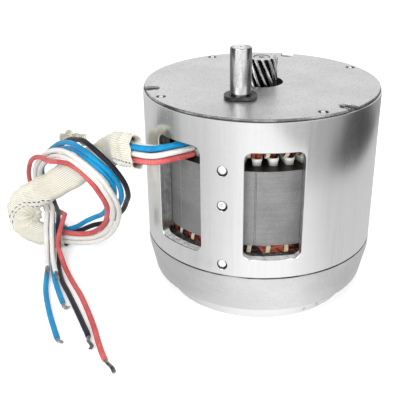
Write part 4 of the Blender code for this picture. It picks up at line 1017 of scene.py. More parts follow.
def bell(holes, shaded):
    """End bell with a tapered skirt, a recessed foot ring and a cup with a bearing's hub."""
    foot_r, foot_wall, recess = 0.0615, 0.0055, 0.0060
    floor_z = recess + 0.0080
    edge_r, edge_z, rounding = TUBE_R - 0.0038, 0.0110, 0.0026
    spigot_r, spigot_in, spigot_z = LOWER_BORE_R - FIT, LOWER_BORE_R - FIT - 0.0055, BELL_HEIGHT + 0.0117
    hub_r, hub_z, pocket_r, pocket_z = 0.024, 0.0283, 0.0178, 0.0167
    bend_z, c = BELL_HEIGHT - 0.0058, 0.0004
    arc = [(edge_r - rounding * (1 - sin(a)), edge_z + rounding * (1 - cos(a)))
           for a in np.linspace(0, radians(86), 9)]
    profile = [(0, recess), (foot_r - foot_wall - c, recess), (foot_r - foot_wall, recess - c),
               (foot_r - foot_wall, c), (foot_r - foot_wall + c, 0), (foot_r - 1.5 * c, 0),
               (foot_r - c / 2, c / 3), (foot_r, 1.2 * c), (foot_r, edge_z - c), (foot_r + c, edge_z),
               *arc[1:], (TUBE_R - 0.0001, bend_z - 0.0005), (TUBE_R, bend_z + 0.0005),
               (TUBE_R, BELL_HEIGHT - c), (TUBE_R - c, BELL_HEIGHT), (spigot_r, BELL_HEIGHT),
               (spigot_r, spigot_z), (spigot_in, spigot_z), (spigot_in - 0.0040, floor_z),
               (hub_r, floor_z), (hub_r, hub_z), (pocket_r, hub_z), (pocket_r, pocket_z),
               (0.0105, pocket_z), (0.0105, pocket_z - 0.0042), (0, pocket_z - 0.0042)]

    def extra(n, where, colour, gloss, normal):
        normal = n.bump(n.streaks(where, (9, 9, 1700), 4.0, 0.7), 0.000005, normal)
        colour = n.shaded(colour, n.smooth(n.streaks(where, (20, 20, 60), 5.0, 0.6), 0.3, 0.7, 0.90, 1.0))
        z = n.axis(where, 2)
        paler = n.smooth(z, 0.0104, 0.0110, 1.0, 0.0)
        colour = n.mix(n.times(paler, 0.75), colour, (0.93, 0.93, 0.92, 1))
        worn = n.streaks(where, (60, 60, 1), 3.0, 0.6)
        seam = n.times(n.smooth(z, 0.03672, 0.03690), n.smooth(worn, 0.25, 0.6, 0.55, 1.0))
        # painted shade: a dark line under the skirt's rounded edge, above the foot ring
        under = n.times(n.smooth(z, 0.0104, 0.0109), n.smooth(z, 0.0111, 0.0117, 1.0, 0.0))
        # mixes in the seam's dark joint and the painted shade under the skirt
        colour = n.mix(n.most(seam, n.times(under, 0.75)), colour, (0.035, 0.035, 0.035, 1))
        marks = n.smooth(n.noise(n.stretch(where, (1, 1, 0.5)), 160.0, 5.0, 0.65), 0.70, 0.74)
        torn = n.smooth(n.noise(where, 900.0, 3.0, 0.7), 0.42, 0.55)
        for az, height, reach in ((35.1, 0.0030, 0.0024), (25.2, 0.0025, 0.0020)):
            spot = (*polar(foot_r, az), height)
            apart = n.add("VectorMath", {0: where, 1: spot}, operation="DISTANCE").outputs["Value"]
            marks = n.most(marks, n.times(n.smooth(apart, reach * 0.4, reach, 1.0, 0.0), torn))
        return n.mix(n.times(marks, 0.5), colour, (0.30, 0.30, 0.29, 1)), gloss, normal

    look = radial_tangent(surface("cast_aluminium", {0: 0.70, 1: 0.80}, 1.0, (0.34, 0.44), 600.0, 16.0,
                                  relief=0.00001, extra=extra, Anisotropic=0.3))
    near = [tool for tool in holes if tool[1].translation.z < spigot_z]
    mesh = smooth(carved(turned("end_bell_body", profile, BODY_SIDES), near), 30)
    # painted shade: the spigot's top face, deep inside the windows, takes the near-black look
    painted(mesh, (look, shaded), lambda c, normal: int(normal.z > 0.9 and c.z > BELL_HEIGHT + 0.0110))
    piece("end_bell_body", mesh, None, "motor", ["end_bell"])


def plate():
    """Gear plate with sharp-cut notches, one of them chipped, and clearance round each screw."""
    spigot_r = COLLAR_BORE_R - FIT
    spigot_z = PLATE_Z - PLATE_SPIGOT
    hub_r, hub_z, pocket_r, pocket_top = 0.024, UPPER_BEARING_Z - 0.0008, 0.0178, PLATE_TOP_Z - 0.0091
    c, e = 0.0006, 0.00025
    profile = [(GEAR_HOLE_R, PLATE_TOP_Z - e), (GEAR_HOLE_R + e, PLATE_TOP_Z), (PLATE_R - c, PLATE_TOP_Z),
               (PLATE_R - 0.3 * c, PLATE_TOP_Z - 0.25 * c), (PLATE_R, PLATE_TOP_Z - c),
               (PLATE_R, PLATE_Z + 0.0001), (PLATE_R - 0.0001, PLATE_Z), (spigot_r, PLATE_Z),
               (spigot_r, spigot_z), (hub_r, spigot_z), (hub_r, hub_z), (pocket_r, hub_z),
               (pocket_r, pocket_top), (GEAR_HOLE_R, pocket_top)]
    half = NOTCH_WIDTH / 2
    inner = PLATE_R - NOTCH_DEPTH + half
    tools = []
    for k, az in enumerate(NOTCH_AZ):
        chipped = k == 1
        chance = np.random.default_rng(40 + k)
        arc = [(half * cos(a), -half * sin(a)) for a in np.linspace(pi, 0, 25)]
        sides = [(half, 2 * NOTCH_DEPTH * i / 12) for i in range(1, 13)]
        outline = arc + sides + [(-x, y) for x, y in reversed(sides)]
        count = len(outline)
        shake = chance.normal(0, 0.00030 if chipped else 0.00006, count)
        outline = scaled(outline, np.clip(shake, -0.0004, 0.0004)[:, None])
        chips = np.full(count, 0.00015)
        if chipped:
            chips = np.clip(chance.normal(0.0003, 0.0004, count), 0.00012, 0.0011)
        chips[25:-12] = 0.00015
        wide = scaled(outline, 2 * chips[:, None])
        deep = 0.0004 if chipped else 0.0001
        mesh = layered("notch", [(outline, -0.00005), (outline, PLATE_FLANGE - deep),
                                 (wide, PLATE_FLANGE + deep * 0.3), (wide, 0.004)])
        tools.append((mesh, upright(*polar(inner, az), PLATE_Z, radians(az) + pi)))
    head = round_cutter("head_hole", PLATE_SCREW_HEAD_R + FIT, PLATE_FLANGE + 0.0005, 0.00012, 40)
    tools += [(head, upright(*polar(PLATE_SCREW_R, az), PLATE_TOP_Z)) for az in PLATE_SCREW_AZ]
    bore = round_cutter("axle_bore", AXLE_R + FIT, 0.0095, 0.0001, 64)
    tools.append((bore, upright(*AXLE_PLACE, PLATE_TOP_Z)))
    mesh = smooth(carved(turned("gear_plate_body", profile, BODY_SIDES), tools), 14)

    def extra(n, where, colour, gloss, normal):
        colour = n.shaded(colour, n.smooth(n.noise(where, 26.0, 6.0, 0.62), 0.30, 0.72, 0.90, 1.03))
        scratch = n.streaks(where, (900, 30, 30), 2.0, 0.5)
        colour = n.mix(n.smooth(scratch, 0.70, 0.78, 0.0, 0.12), colour, (0.95, 0.95, 0.95, 1))
        pits = n.smooth(n.noise(where, 1100.0, 3.0, 0.6), 0.50, 0.72, 0.0, 0.42)
        colour = n.mix(pits, colour, (0.16, 0.16, 0.16, 1))
        worn = n.smooth(n.noise(where, 70.0, 4.0, 0.65), 0.35, 0.6, 0.15, 0.8)
        edge = n.times(n.math("GREATER_THAN", n.radius(where), PLATE_R - 0.0004), worn)
        return n.mix(edge, colour, (0.10, 0.10, 0.10, 1)), gloss, normal

    look = surface("plate_aluminium", {0: 0.78, 1: 0.90}, 1.0, (0.34, 0.46), 1300.0, 22.0, relief=0.00002,
                   extra=extra)
    # painted shade: the gear hole's walls are coloured near black for the shade inside it
    recess = surface("painted_shade_bore", {0: 0.02, 1: 0.08}, 0.5, (0.4, 0.6), 1200.0, 200.0, relief=0.00003)
    painted(mesh, (look, recess),
            lambda c, normal: int(hypot(c.x, c.y) < GEAR_HOLE_R + 0.004 and c.z < PLATE_TOP_Z - 0.0003))
    piece("gear_plate_body", mesh, None, "motor", ["gear_plate"])


def screws():
    """Plate screws with a staked ring round a light centre, and three kinds of side screw."""
    zinc = surface("zinc_plate", {0: 0.86, 1: 0.97}, 0.55, (0.22, 0.36), 1800.0, 300.0, relief=0.00001)
    steel = surface("screw_steel", {0: 0.74, 1: 0.94}, 1.0, (0.20, 0.34), 1800.0, 300.0, relief=0.00001)
    dark = surface("screw_shadow", {0: 0.015, 1: 0.06}, 0.6, (0.45, 0.6), 1800.0, 300.0, relief=0.00003)
    top, foot, r = PLATE_TOP_Z - 0.0002, RIM_Z - 0.0087, PLATE_SCREW_HEAD_R
    dome = [(1.55 * MM * cos(a), top - 0.00034 + 0.00034 * sin(a)) for a in np.linspace(0, pi / 2, 7)]
    profile = [(0, foot), (0.0017, foot), (0.0020, foot + 0.0004), (0.0020, PLATE_Z + FIT),
               (r, PLATE_Z + FIT), (r, top - 0.0002), (r - 0.00018, top), (0.00218, top),
               (0.00200, top - 0.0005), (0.00165, top - 0.0005), *dome[:-1], (0, top)]

    def staked(c, normal):
        """The ring's shadow, left open at two places."""
        ring = 0.00160 < hypot(c.x, c.y) < 0.00262 and c.z > top - 0.0008
        return int(ring and not 62 < degrees(atan2(c.y, c.x)) % 180 < 118)

    for k, az in enumerate(PLATE_SCREW_AZ, 1):
        name = "plate_screw_%d" % k
        mesh = painted(smooth(turned(name + "_head", profile, 48), 28), (steel, dark), staked)
        piece(name + "_head", mesh, None, "motor", [name],
              upright(*polar(PLATE_SCREW_R, az), 0))
    r = SIDE_SCREW_R
    dome = [(r * cos(a), -0.0007 + 0.0007 * sin(a)) for a in np.linspace(0.1, pi / 2, 9)][:-1]
    flat = [(r, -0.00045), (r - 0.0004, 0), (0.0017, 0)]
    bar = [(-0.004, -0.00045), (0.004, -0.00045), (0.004, 0.00045), (-0.004, 0.00045)]
    hexagon = ring_points(0.00155, 6, 0.4)
    slot = layered("slot", [(bar, -0.0010), (bar, 0.002)])
    socket = layered("socket", [(hexagon, -0.0022), (hexagon, 0.002)])
    kinds = ((0.0078, dome, [(slot, Matrix.Rotation(radians(48), 4, "Z"))]),
             (0.0078, flat, [(socket, Matrix.Identity(4))]), (0.0092, dome, []))
    places = [(az, *rest) for az in SIDE_SCREW_AZ for rest in zip(SIDE_SCREW_HEIGHTS, kinds)]
    for k, (az, height, (deep, crown, tools)) in enumerate(places, 1):
        name = "side_screw_%d" % k
        base = turned(name + "_body", [(0, -deep), (r - 0.0003, -deep), (r, -deep + 0.0003), *crown,
                                       (0, 0)], 48)
        piece(name + "_body", smooth(carved(base, tools) if tools else base, 30), zinc, "motor",
              [name], outwards(az, TUBE_R - SIDE_SCREW_SUNK, TUBE_Z + height))


def laminations_look():
    """Sheets on edge, and the top between the slots painted near black for the shade under the end turns.
    """

    def extra(n, where, colour, gloss, normal):
        z = n.axis(where, 2)
        sheets = n.math("SINE", n.times(z, TURN / 0.00065))
        uneven = n.streaks(where, (40, 40, 1500), 3.0, 0.6)
        shade = n.times(n.smooth(sheets, -1.0, 0.3, 0.66, 1.0), n.smooth(uneven, 0.3, 0.7, 0.92, 1.04))
        # painted shade: the top face inside the rim, under the end turns, is coloured near black
        inner = n.math("LESS_THAN", n.radius(where), STATOR_R - 0.0003)
        face = n.times(n.math("GREATER_THAN", z, STACK_TOP_Z - 0.0001), inner)
        colour = n.mix(face, n.shaded(colour, shade), (0.035, 0.030, 0.027, 1))
        return colour, gloss, n.bump(sheets, 0.00003, normal)

    return surface("laminations", {0: 0.33, 1: 0.44}, 0.8, (0.36, 0.5), 900.0, 60.0, relief=0.00002,
                   extra=extra)


def stack():
    """Laminated core: each sheet a little in or out, slots, and a welded bead in each seam."""
    sheets = 74
    between = 26
    half = degrees(0.0005 / STATOR_R)
    az, depth = [], []
    for k in range(SEAMS):
        middle = SEAM_AZ + 360 / SEAMS * k
        for share, deep in ((-1, 0), (-0.6, 0.0005), (0, 0.0006), (0.6, 0.0005), (1, 0)):
            az.append(middle + share * half)
            depth.append(deep)
        free = 360 / SEAMS - 2 * half
        for i in range(1, between):
            az.append(middle + half + free * i / between)
            depth.append(0)
    az = np.radians(az)
    depth = np.array(depth)
    chance = np.random.default_rng(11)
    rows = []
    for k in range(sheets):
        radius = STATOR_R - depth - abs(chance.normal()) * 0.000016
        low, high = (STACK_Z + STACK_LENGTH * (k + s) / sheets for s in (0.0, 1.0))
        for z, tuck in ((low, 0.00005), (low + 0.0001, 0), (high - 0.0001, 0), (high, 0.00005)):
            r = radius - tuck
            rows.append(np.stack([r * np.sin(az), -r * np.cos(az), np.full(len(az), z)], 1))
    rim = np.array(rows)
    slots = []
    for k in range(SLOTS):
        middle = SLOT_AZ + 360 / SLOTS * k
        w, m = SLOT_HALF_ANGLE, SLOT_MOUTH_HALF_ANGLE
        slots += [polar(r, middle + a) for r, a in ((BORE_R, -m), (SLOT_INNER_R, -w), (SLOT_OUTER_R, -w),
                                                    (SLOT_OUTER_R, w), (SLOT_INNER_R, w), (BORE_R, m))]
    inside = np.array([[(x, y, z) for x, y in slots] for z in (STACK_TOP_Z, STACK_Z)])
    shape = Shape()
    shape.grid(rim)
    shape.grid(inside)
    shape.cap(rim[-1], inside[0], True)
    shape.cap(rim[0], inside[1], False)
    piece("stator_core_stack", shape, laminations_look(), "motor", ["stator_core"],
          sharp=30)
    beads = Shape()
    z = np.arange(STACK_Z + 0.0004, STACK_TOP_Z - 0.0004, 0.0003)
    for k in range(SEAMS):
        x, y = polar(STATOR_R - 0.00052, SEAM_AZ + 360 / SEAMS * k)
        path = np.column_stack([np.full(len(z), x), np.full(len(z), y), z])
        ripple = 0.00022 + 0.00003 * np.sin(z * TURN / 0.0013) + chance.normal(0, 0.00001, len(z))
        beads.grid(sweep(path, ripple, 10), caps=True)
    weld = surface("weld_beads", {0: 0.55, 1: 0.80}, 1.0, (0.22, 0.4), 1500.0, 200.0, relief=0.00003)
    piece("stator_seam_welds", beads, weld, "motor")


def winding_look():
    """Enamelled wire, from nearly black to bright copper red by each turn's tone, which carries painted
    shade as well as the enamel's own colour.
    """

    def extra(n, where, colour, gloss, normal):
        tone = n.add("Attribute", attribute_name="tone").outputs["Fac"]
        wobble = n.linear(n.noise(where, 300.0), 0.16, n.math("SUBTRACT", tone, 0.08))
        colour = n.ramp(wobble, {0.0: (0.018, 0.020, 0.040), 0.22: (0.030, 0.010, 0.010),
                                 0.45: (0.13, 0.018, 0.012), 0.7: (0.36, 0.055, 0.030),
                                 1.0: (0.62, 0.16, 0.085)})
        return colour, gloss, normal

    return surface("enamelled_wire", {0: 1, 1: 1}, 0.0, (0.22, 0.4), 900.0, 200.0, relief=0.00001,
                   extra=extra, Coat_Weight=0.5, Coat_Roughness=0.15)


def coil_tone(az, upper):
    """How light the coil at an angle is coloured: partly the enamel's own tone, partly painted shade for
    coils seen in the shadowed parts of the windows.
    """
    az = (az + 180) % 360 - 180
    # painted shade: darker tones where the coils lie in shadow inside the windows
    seen = (((-12, 1, 0.86), (1, 24, 0.42), (-62, -40, 0.55))
            if upper else ((-14, 11, 0.90), (11, 24, 0.06), (-50, -42, 0.50), (-62, -55, 0.50),
                           (-75, -36, 0.20)))
    for low, high, tone in seen:
        if low < az < high:
            return tone
    return (0.85, 0.45, 0.6, 0.2)[int(az // 20) % 4]


def end_turns(shape, upper):
    """Coils that rise from their slots, lean over and run under the next ones."""
    chance = np.random.default_rng(5 if upper else 6)
    up = 1 if upper else -1
    face = STACK_TOP_Z if upper else STACK_Z
    first = 0.0098 if upper else 0.0012
    tall = 0.0120 if upper else 0.0150
    wires = 30 if upper else 26
    for k in range(SLOTS):
        az0 = SLOT_AZ + 360 / SLOTS * k
        tone = coil_tone(az0, upper)
        for w in range(wires):
            share = (w + 0.5) / wires
            side = chance.uniform(-1, 1)
            r0 = 0.0562 - 0.0075 * chance.uniform() ** 1.5
            out = 0.0602 - 0.0009 * chance.integers(0, 2) - 0.0011 * abs(2 * share - 1) ** 3
            z = face + up * (first + tall * share + chance.normal(0, 0.00025))
            lean = chance.uniform(-0.5, 0.5)
            if upper:
                bulge = r0 + 0.0016 * (1 - side * side) + 0.0004
                marks = [(az0 + 2.0 * side, r0, face - 0.0006), (az0 + 2.0 * side, r0, face + 0.0044),
                         (az0 + 2.9 * side, bulge, face + 0.0066),
                         (az0 + 2.9 * side + 0.6, bulge + 0.0006, face + 0.0086),
                         (az0 + 3.0 + 2.4 * side, out - 0.0006, face + 0.55 * (z - face) + 0.0050)]
            else:
                marks = [(az0 + 2.0 * side, r0, face + 0.0006),
                         (az0 + 2.0 * side, r0 + 0.3 * (out - r0), face - 0.0008),
                         (az0 + 2.6 + 1.6 * side, out - 0.0006, face - 0.45 * (face - z) - 0.0004)]
            marks += [(az0 + 8.5 + lean, out, z - up * 0.0006),
                      (az0 + 16 + lean, out - 0.0006, z + chance.normal(0, 0.0004)),
                      (az0 + 25, out - 0.0022, z), (az0 + 34, out - 0.0046, z)]
            points = [(*polar(r, az), h) for az, r, h in marks]
            path = spline(points, np.linspace(0, len(points) - 1, 22))
            shape.grid(sweep(path, 0.00047, 6), tone=tone + chance.normal(0, 0.16), caps=True)
    # painted shade: a solid dark ring inside the end turns stands in for the shade in the gaps between
    # the coils
    low = face + up * (0.0088 if upper else 0.0012)
    high = face + up * (first + tall + 0.0005)
    ring = [(TURNS_INNER_R + 0.0004, low), (0.0560, low), (0.0583, face + up * (first + 0.002)),
            (0.0583, high - up * 0.0015), (0.0565, high), (TURNS_INNER_R + 0.0016, high)]
    ring = ring if upper else ring[::-1]
    az = np.radians(np.linspace(0, 360, 145)[:-1])
    rows = np.array([[(r * sin(a), -r * cos(a), z) for a in az] for r, z in ring + ring[:1]])
    shape.grid(rows[::-1], tone=0.16)


def ties(upper, places):
    """Cream lacing round the end turns, three threads side by side on a slant."""
    shape = Shape()
    up = 1 if upper else -1
    face = STACK_TOP_Z if upper else STACK_Z
    low = face + up * (0.0049 if upper else 0.0009)
    high = face + up * (0.0212 if upper else 0.0171)
    outline = [(0.0434, low), (0.0500, low), (0.0568, low), (0.0606, low + up * 0.0030),
               (0.0612, low + up * 0.0065), (0.0612, low + up * 0.0110), (0.0600, high - up * 0.0012),
               (0.0560, high + up * 0.0004), (0.0500, high + up * 0.0005), (0.0440, high),
               (0.0428, 0.5 * (low + high))]
    chance = np.random.default_rng(8)
    for az in places:
        slant = chance.uniform(1.6, 2.6) * (1 if upper else -1)
        for thread in (-1, 0, 1):
            points = [(*polar(r, az + thread * 0.78 + slant * (z - low) / (high - low)), z)
                      for r, z in outline + outline[:1]]
            path = spline(points, np.linspace(0, len(points) - 1, 34))
            shape.grid(sweep(path, 0.00047, 6), tone=chance.uniform(), caps=True)
    return shape


def cuffs():
    """Slot liners folded into white cuffs above the core."""
    shape = Shape()
    chance = np.random.default_rng(9)
    outline = rounded_rectangle(0.0052, 0.0148, 0.0021, 5, 4)
    for k in range(SLOTS):
        az = radians(SLOT_AZ + 360 / SLOTS * k)
        c, s = cos(az), sin(az)
        top = 0.0047 + chance.uniform(-0.0003, 0.0003)
        rings = []
        for z, extra in ((-0.0015, -0.0004), (0.0001, 0.0), (0.0016, 0.00015), (0.0027, 0.0002),
                         (0.0029, 0.0005), (top - 0.0003, 0.0006), (top, 0.00045),
                         (top - 0.0002, -0.0002), (0.0014, -0.0002)):
            points = np.array(scaled(outline, extra))
            x, y = points[:, 0], points[:, 1] - 0.0501
            rings.append(np.column_stack([x * c - y * s, x * s + y * c,
                                          np.full(len(x), STACK_TOP_Z + z)]))
        shape.grid(np.array(rings))
    return shape


def paper_look():
    """White slot paper, with painted shade darkening its foot."""

    def extra(n, where, colour, gloss, normal):
        z = n.axis(where, 2)
        # painted shade: the cuff's foot, next to the core's top, is coloured darker
        below = n.smooth(z, STACK_TOP_Z + 0.0026, STACK_TOP_Z + 0.0031, 1.0, 0.0)
        foot = n.smooth(z, STACK_TOP_Z, STACK_TOP_Z + 0.0026, 0.36, 0.74)
        return n.mix(below, colour, n.shaded(colour, foot, 0.95)), gloss, normal

    return surface("slot_liner", {0: (0.93, 0.93, 0.92), 1: (0.99, 0.99, 0.98)}, 0.0, (0.45, 0.6), 1200.0,
                   90.0, relief=0.00004, extra=extra, Specular_IOR_Level=0.4)


def winding():
    """End turns of both sides, their lacing and the slot cuffs."""
    wires = Shape()
    end_turns(wires, True)
    end_turns(wires, False)
    piece("stator_winding_turns", wires, winding_look(), "motor", ["stator_winding"])
    cream = surface("lacing_cord", {0: (0.66, 0.60, 0.42), 1: (0.90, 0.86, 0.68)}, 0.0, (0.6, 0.8),
                    2600.0, 200.0, relief=0.00006, Specular_IOR_Level=0.3)
    every = 360 / 34
    lower = [-9.2, 1.9, 12.4, *(24.0 + every * k for k in range(26)), -57.6, -46.4, -35.5, -21.5]
    piece("winding_ties_lower", ties(False, lower), cream, "motor")
    piece("winding_ties_upper", ties(True, [-0.8 + every * k for k in range(34)]), cream, "motor")
    piece("slot_liner_cuffs", cuffs(), paper_look(), "motor", sharp=50)


def gear_outline(tip_limit):
    """Outline of the pinion, cut off at a radius, with the radii of its pitch circle and tips."""
    helix = radians(PINION_HELIX)
    transverse = atan(tan(radians(PINION_PRESSURE)) / cos(helix))
    pitch_r = PINION_MODULE / cos(helix) * PINION_TEETH / 2
    base_r = pitch_r * cos(transverse)
    tip_r = pitch_r + PINION_MODULE
    root_r = pitch_r - 1.25 * PINION_MODULE

    def flank(radius):
        angle = acos(min(1.0, base_r / radius))
        return pi / 2 / PINION_TEETH + tan(transverse) - transverse - (tan(angle) - angle)

    foot = flank(base_r)
    half = [(root_r, foot + 0.075), (root_r + 0.0001, foot + 0.03), (root_r + 0.0003, foot + 0.008)]
    half += [(r, flank(r)) for r in np.linspace(base_r, tip_r - 0.0001, 7)]
    half += [(tip_r, flank(tip_r) - 0.012), (tip_r, 0.0)]
    tooth = [(r, -angle) for r, angle in half] + half[-2::-1]
    outline = []
    for k in range(PINION_TEETH):
        for r, angle in tooth:
            r, angle = min(r, tip_limit), TURN * k / PINION_TEETH + angle
            outline.append((r * cos(angle), r * sin(angle)))
    return outline, pitch_r, tip_r


def pinion():
    """Left-hand helical pinion with chamfered teeth and a bore."""
    pitch_r, tip_r = gear_outline(1.0)[1:]
    twist = -PINION_LENGTH * tan(radians(PINION_HELIX)) / pitch_r
    steps = 18
    levels = [(0.0, tip_r - 0.0005), (0.0005, 1.0),
              *((PINION_LENGTH * k / steps, 1.0) for k in range(1, steps)),
              (PINION_LENGTH - 0.0004, 1.0), (PINION_LENGTH, tip_r - 0.0004)]
    rings = []
    for z, limit in levels:
        x, y = np.array(gear_outline(limit)[0]).T
        turn = twist * z / PINION_LENGTH
        c, s = cos(turn), sin(turn)
        rings.append(np.column_stack([x * c - y * s, x * s + y * c, np.full(len(x), PINION_Z + z)]))
    bore_r = SHAFT_NOSE_R + FIT
    a = TURN * np.arange(96) / 96
    holes = [np.column_stack([r * np.cos(a), r * np.sin(a), np.full(96, z)])
             for r, z in ((bore_r + 0.0003, PINION_TOP_Z), (bore_r, PINION_TOP_Z - 0.0003),
                          (bore_r, PINION_Z))]
    shape = Shape()
    shape.grid(np.array(rings))
    shape.grid(np.array(holes))
    shape.cap(rings[-1], holes[0], True)
    shape.cap(rings[0], holes[-1], False)

    def extra(n, where, colour, gloss, normal):
        # painted shade: the gaps between the teeth are coloured near black, except at the top face
        root = n.smooth(n.radius(where), 0.0077, 0.0091, 0.0, 1.0)
        bright = n.most(root, n.math("GREATER_THAN", n.axis(where, 2), PINION_TOP_Z - 0.0005))
        return n.mix(bright, (0.012, 0.012, 0.012, 1), colour), gloss, normal

    look = surface("gear_steel", {0: 0.50, 1: 0.86}, 1.0, (0.18, 0.34), 1400.0, 120.0, relief=0.00002,
                   extra=extra)
    piece("pinion_gear", shape, look, "rotor", ["pinion"], sharp=24)


def shaft():
    """Rotor shaft with a chamfered end and its centre drilling."""
    c = 0.0004
    foot, top = 0.0145, PINION_TOP_Z - FIT
    n, s, b = SHAFT_NOSE_R, 0.0075, 0.010
    profile = [(0, foot), (s - 0.0006, foot), (s, foot + 0.0006), (s, 0.0283), (b, 0.0283),
               (b, UPPER_BEARING_Z - FIT), (s, UPPER_BEARING_Z - FIT), (s, PINION_Z - FIT),
               (n, PINION_Z - FIT), (n, top - c), (n - c, top), (0.0021, top), (0.0013, top - 0.0008),
               (0.0008, top - 0.0010), (0.0008, top - 0.0022), (0, top - 0.0026)]
    steel = surface("bright_steel", {0: 0.44, 1: 0.66}, 1.0, (0.20, 0.34), 1500.0, 150.0, relief=0.00001)
    piece("rotor_shaft_turned", smooth(turned("rotor_shaft_turned", profile, ROUND_SIDES), 28), steel,
          "rotor", ["rotor_shaft"])


def axle():
    """Ground idler axle with a groove at its foot and pits above it, in its dark collar."""
    r, t, e, c = AXLE_R, COLLAR_THICKNESS, 0.00025, 0.0007
    seat, foot = FIT + COLLAR_THICKNESS, -(PLATE_FLANGE + PLATE_SPIGOT)
    profile = [(0, foot), (r - 0.0004, foot), (r, foot + 0.0004), (r, seat + 0.00005),
               (r - 0.0005, seat + 0.0002), (r - 0.0005, seat + 0.0010), (r - 0.0003, seat + 0.0012),
               (r, seat + 0.0014), (r, AXLE_HEIGHT - c), (r - 0.25 * c, AXLE_HEIGHT - 0.45 * c),
               (r - c, AXLE_HEIGHT), (0.0009, AXLE_HEIGHT), (0.0006, AXLE_HEIGHT - 0.0003),
               (0, AXLE_HEIGHT - 0.0005)]

    def extra(n, where, colour, gloss, normal):
        z = n.axis(where, 2)
        pits = n.smooth(n.noise(where, 1100.0, 3.0, 0.6), 0.60, 0.68)
        pits = n.times(pits, n.times(n.smooth(z, 0.0035, 0.010, 1.0, 0.0), 0.65))
        colour = n.mix(pits, colour, (0.06, 0.055, 0.05, 1))
        colour = n.mix(n.smooth(z, 0.0022, 0.0042, 0.75, 0.0), colour, (0.07, 0.065, 0.06, 1))
        # painted reflection: dark bands down the left and right sides stand in for dark surroundings
        # mirrored in the axle
        x = n.math("DIVIDE", n.axis(where, 0), AXLE_R)
        painted_reflection = n.times(n.smooth(x, -0.98, -0.50, 0.16, 1.0), n.smooth(x, 0.12, 0.62, 1.0, 0.42))
        grain = n.smooth(n.noise(n.stretch(where, (1, 1, 0.5)), 900.0, 4.0, 0.7), 0.3, 0.7, 0.82, 1.05)
        lines = n.streaks(where, (30, 30, 2600), 3.0, 0.6)
        return n.shaded(colour, n.times(painted_reflection, grain)), gloss, n.bump(lines, 0.00001, normal)

    look = radial_tangent(surface("ground_steel", {0: 0.84, 1: 0.92}, 1.0, (0.16, 0.24), 1200.0, 60.0,
                                  relief=0.000004, extra=extra, Anisotropic=0.4))
    where = upright(*AXLE_PLACE, PLATE_TOP_Z)
    piece("idler_axle_post", smooth(turned("idler_axle_post", profile, ROUND_SIDES), 25), look, "motor",
          ["idler_axle"], where)
    corner = asin(COLLAR_FLATS / 2 / COLLAR_R)
    side = [(COLLAR_R * cos(a), COLLAR_R * sin(a)) for a in np.linspace(-corner, corner, 33)]
    outline = side + [(-x, -y) for x, y in side]
    inset = scaled(outline, -e)
    hole, mouth = (ring_points(r + FIT / 2 + wider, 64) for wider in (0, 2 * e))
    base = layered("axle_collar_nut", [(inset, FIT), (outline, FIT + e), (outline, FIT + t - e),
                                       (inset, FIT + t)])
    bore = layered("collar_bore", [(hole, -0.001), (hole, FIT + t - e), (mouth, FIT + t + e),
                                   (ring_points(r + 0.0008, 64), 0.005)])
    black = surface("blackened_steel", {0: 0.03, 0.6: 0.07, 1: 0.20}, 0.7, (0.30, 0.5), 1500.0, 160.0,
                    relief=0.00003)
    mesh = smooth(carved(base, [(bore, Matrix.Identity(4))]), 28)
    piece("axle_collar_nut", mesh, black, "motor", ["axle_collar"], where)


def hidden():
    """Pieces inside the housing keep their solids, with their real finish."""
    cast = surface("rotor_laminations", {0: 0.36, 1: 0.55}, 0.9, (0.35, 0.5), 1200.0, 90.0,
                   relief=0.00003)
    race = surface("bearing_steel", {0: 0.52, 1: 0.72}, 1.0, (0.16, 0.3), 1500.0, 150.0, relief=0.00001)
    for name in ("rotor_core", "lower_bearing_outer", "upper_bearing_outer", "lower_bearing_inner",
                 "upper_bearing_inner", "preload_washer"):
        node = frame["nodes"][name]
        node.data.materials.clear()
        node.data.materials.append(cast if name == "rotor_core" else race)


def sheet(name, corners, look):
    """A flat card of the studio."""
    mesh = bpy.data.meshes.new(name)
    mesh.from_pydata(corners, [], [(0, 1, 2, 3)])
    mesh.materials.append(look)
    made = bpy.data.objects.new(name, mesh)
    bpy.context.scene.collection.objects.link(made)
    return made


def sky():
    """Light from all round; only the metal sees that it fades upwards, and the camera sees white."""
    world = bpy.data.worlds.new("studio")
    world.use_nodes = True
    n = Nodes(world)
    n.tree.nodes.clear()
    rays = n.add("LightPath").outputs
    camera_ray = rays["Is Camera Ray"]
    seen = n.most(camera_ray, n.most(rays["Is Glossy Ray"], rays["Is Transmission Ray"]))
    height = n.axis(n.add("TexCoord").outputs["Generated"], 2)
    fading = n.times(n.smooth(height, 0.30, 0.70, 1.0, 0.46), n.math("SUBTRACT", 1.0, camera_ray))
    strength = n.mix(seen, (0.70, 0.70, 0.70, 1), n.most(camera_ray, fading))
    back = n.add("Background", {"Color": (1, 1, 1, 1), "Strength": strength})
    n.add("OutputWorld", {0: back.outputs[0]})
    return world


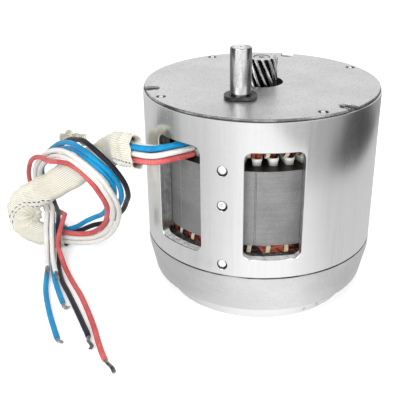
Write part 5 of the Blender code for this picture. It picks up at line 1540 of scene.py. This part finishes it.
def floor_look():
    """White paper that the metal sees as a card with darker sectors and patches."""
    made = bpy.data.materials.new("floor")
    made.use_nodes = True
    n = Nodes(made)
    n.tree.nodes.clear()
    where = n.add("TexCoord").outputs["Object"]
    x, y = n.axis(where, 0), n.axis(where, 1)
    r = n.most(n.radius(where), 0.001)
    ahead = n.math("DIVIDE", n.times(y, -1.0), r)
    sector = n.ramp(n.most(ahead, 0.0), {0: 0.60, 0.60: 0.61, 0.88: 0.83, 0.955: 0.97, 1.0: 1.0})
    right = n.times(n.smooth(x, 0.08, 0.26), n.smooth(r, 0.30, 0.52))
    patch = n.times(n.smooth(x, 0.335, 0.405), n.smooth(n.apart(y, 0.01), 0.16, 0.34, 1.0, 0.0))
    other = n.times(n.smooth(x, -0.37, -0.29, 1.0, 0.0), n.smooth(n.apart(y, 0.07), 0.09, 0.18, 1.0, 0.0))
    shade = n.times(n.linear(right, -0.42, 1.0), n.linear(patch, -0.82, 1.0))
    shade = n.times(shade, n.linear(other, -0.62, 1.0))
    tint = n.mix(other, (1, 1, 1, 1), (0.92, 1.0, 0.98, 1))
    card = n.mix(1.0, n.shaded(sector, shade), tint, "MULTIPLY")
    rays = n.add("LightPath").outputs
    mirrored = n.add("Emission", {"Color": card, "Strength": 1.12})
    paper = n.add("BsdfDiffuse", {"Color": (0.90, 0.90, 0.90, 1)})
    glow = n.add("Emission", {"Color": (1, 1, 1, 1), "Strength": n.times(rays["Is Camera Ray"], 0.30)})
    plain = n.add("AddShader", {0: paper.outputs[0], 1: glow.outputs[0]})
    mixed = n.add("MixShader", {0: rays["Is Glossy Ray"], 1: plain.outputs[0], 2: mirrored.outputs[0]})
    n.add("OutputMaterial", {0: mixed.outputs[0]})
    return made


def studio():
    """White floor, two dark flags that only the metal sees, and four lamps."""
    scene = bpy.context.scene
    scene.view_settings.view_transform = "Standard"
    scene.world = sky()
    half, z = 4.0, -0.0002
    sheet("floor", [(-half, -half, z), (half, -half, z), (half, half, z), (-half, half, z)],
                   floor_look())
    black = bpy.data.materials.new("flag")
    black.use_nodes = True
    black.node_tree.nodes["Principled BSDF"].inputs["Base Color"].default_value = (0.02, 0.02, 0.02, 1)
    for name, x in (("flag_right", 0.46), ("flag_left", -0.60)):
        flag = sheet(name, [(x, -0.30, 0.16), (x, 0.35, 0.16), (x, 0.35, 0.80), (x, -0.30, 0.80)], black)
        flag.visible_camera = flag.visible_diffuse = flag.visible_shadow = False
    for name, spot, size, power in (("key", (-0.55, -0.75, 0.95), 0.7, 5.5),
                                    ("fill", (0.75, -0.45, 0.80), 0.7, 3.0),
                                    ("back", (-0.1, 0.9, 1.0), 0.8, 3.0),
                                    ("front", (-0.12, -1.0, 0.52), 0.4, 5.0)):
        light = bpy.data.lights.new(name, "AREA")
        light.size = size
        light.energy = power
        holder = bpy.data.objects.new(name, light)
        scene.collection.objects.link(holder)
        holder.location = spot
        holder.visible_glossy = name in ("key", "fill")
        holder.rotation_mode = "QUATERNION"
        holder.rotation_quaternion = (Vector((0, 0, 0.06)) - Vector(spot)).to_track_quat("-Z", "Y")


camera()
harness()
sleeve()
housing()
plate()
screws()
stack()
winding()
pinion()
shaft()
hidden()
axle()
studio()

bpy.context.view_layer.update()
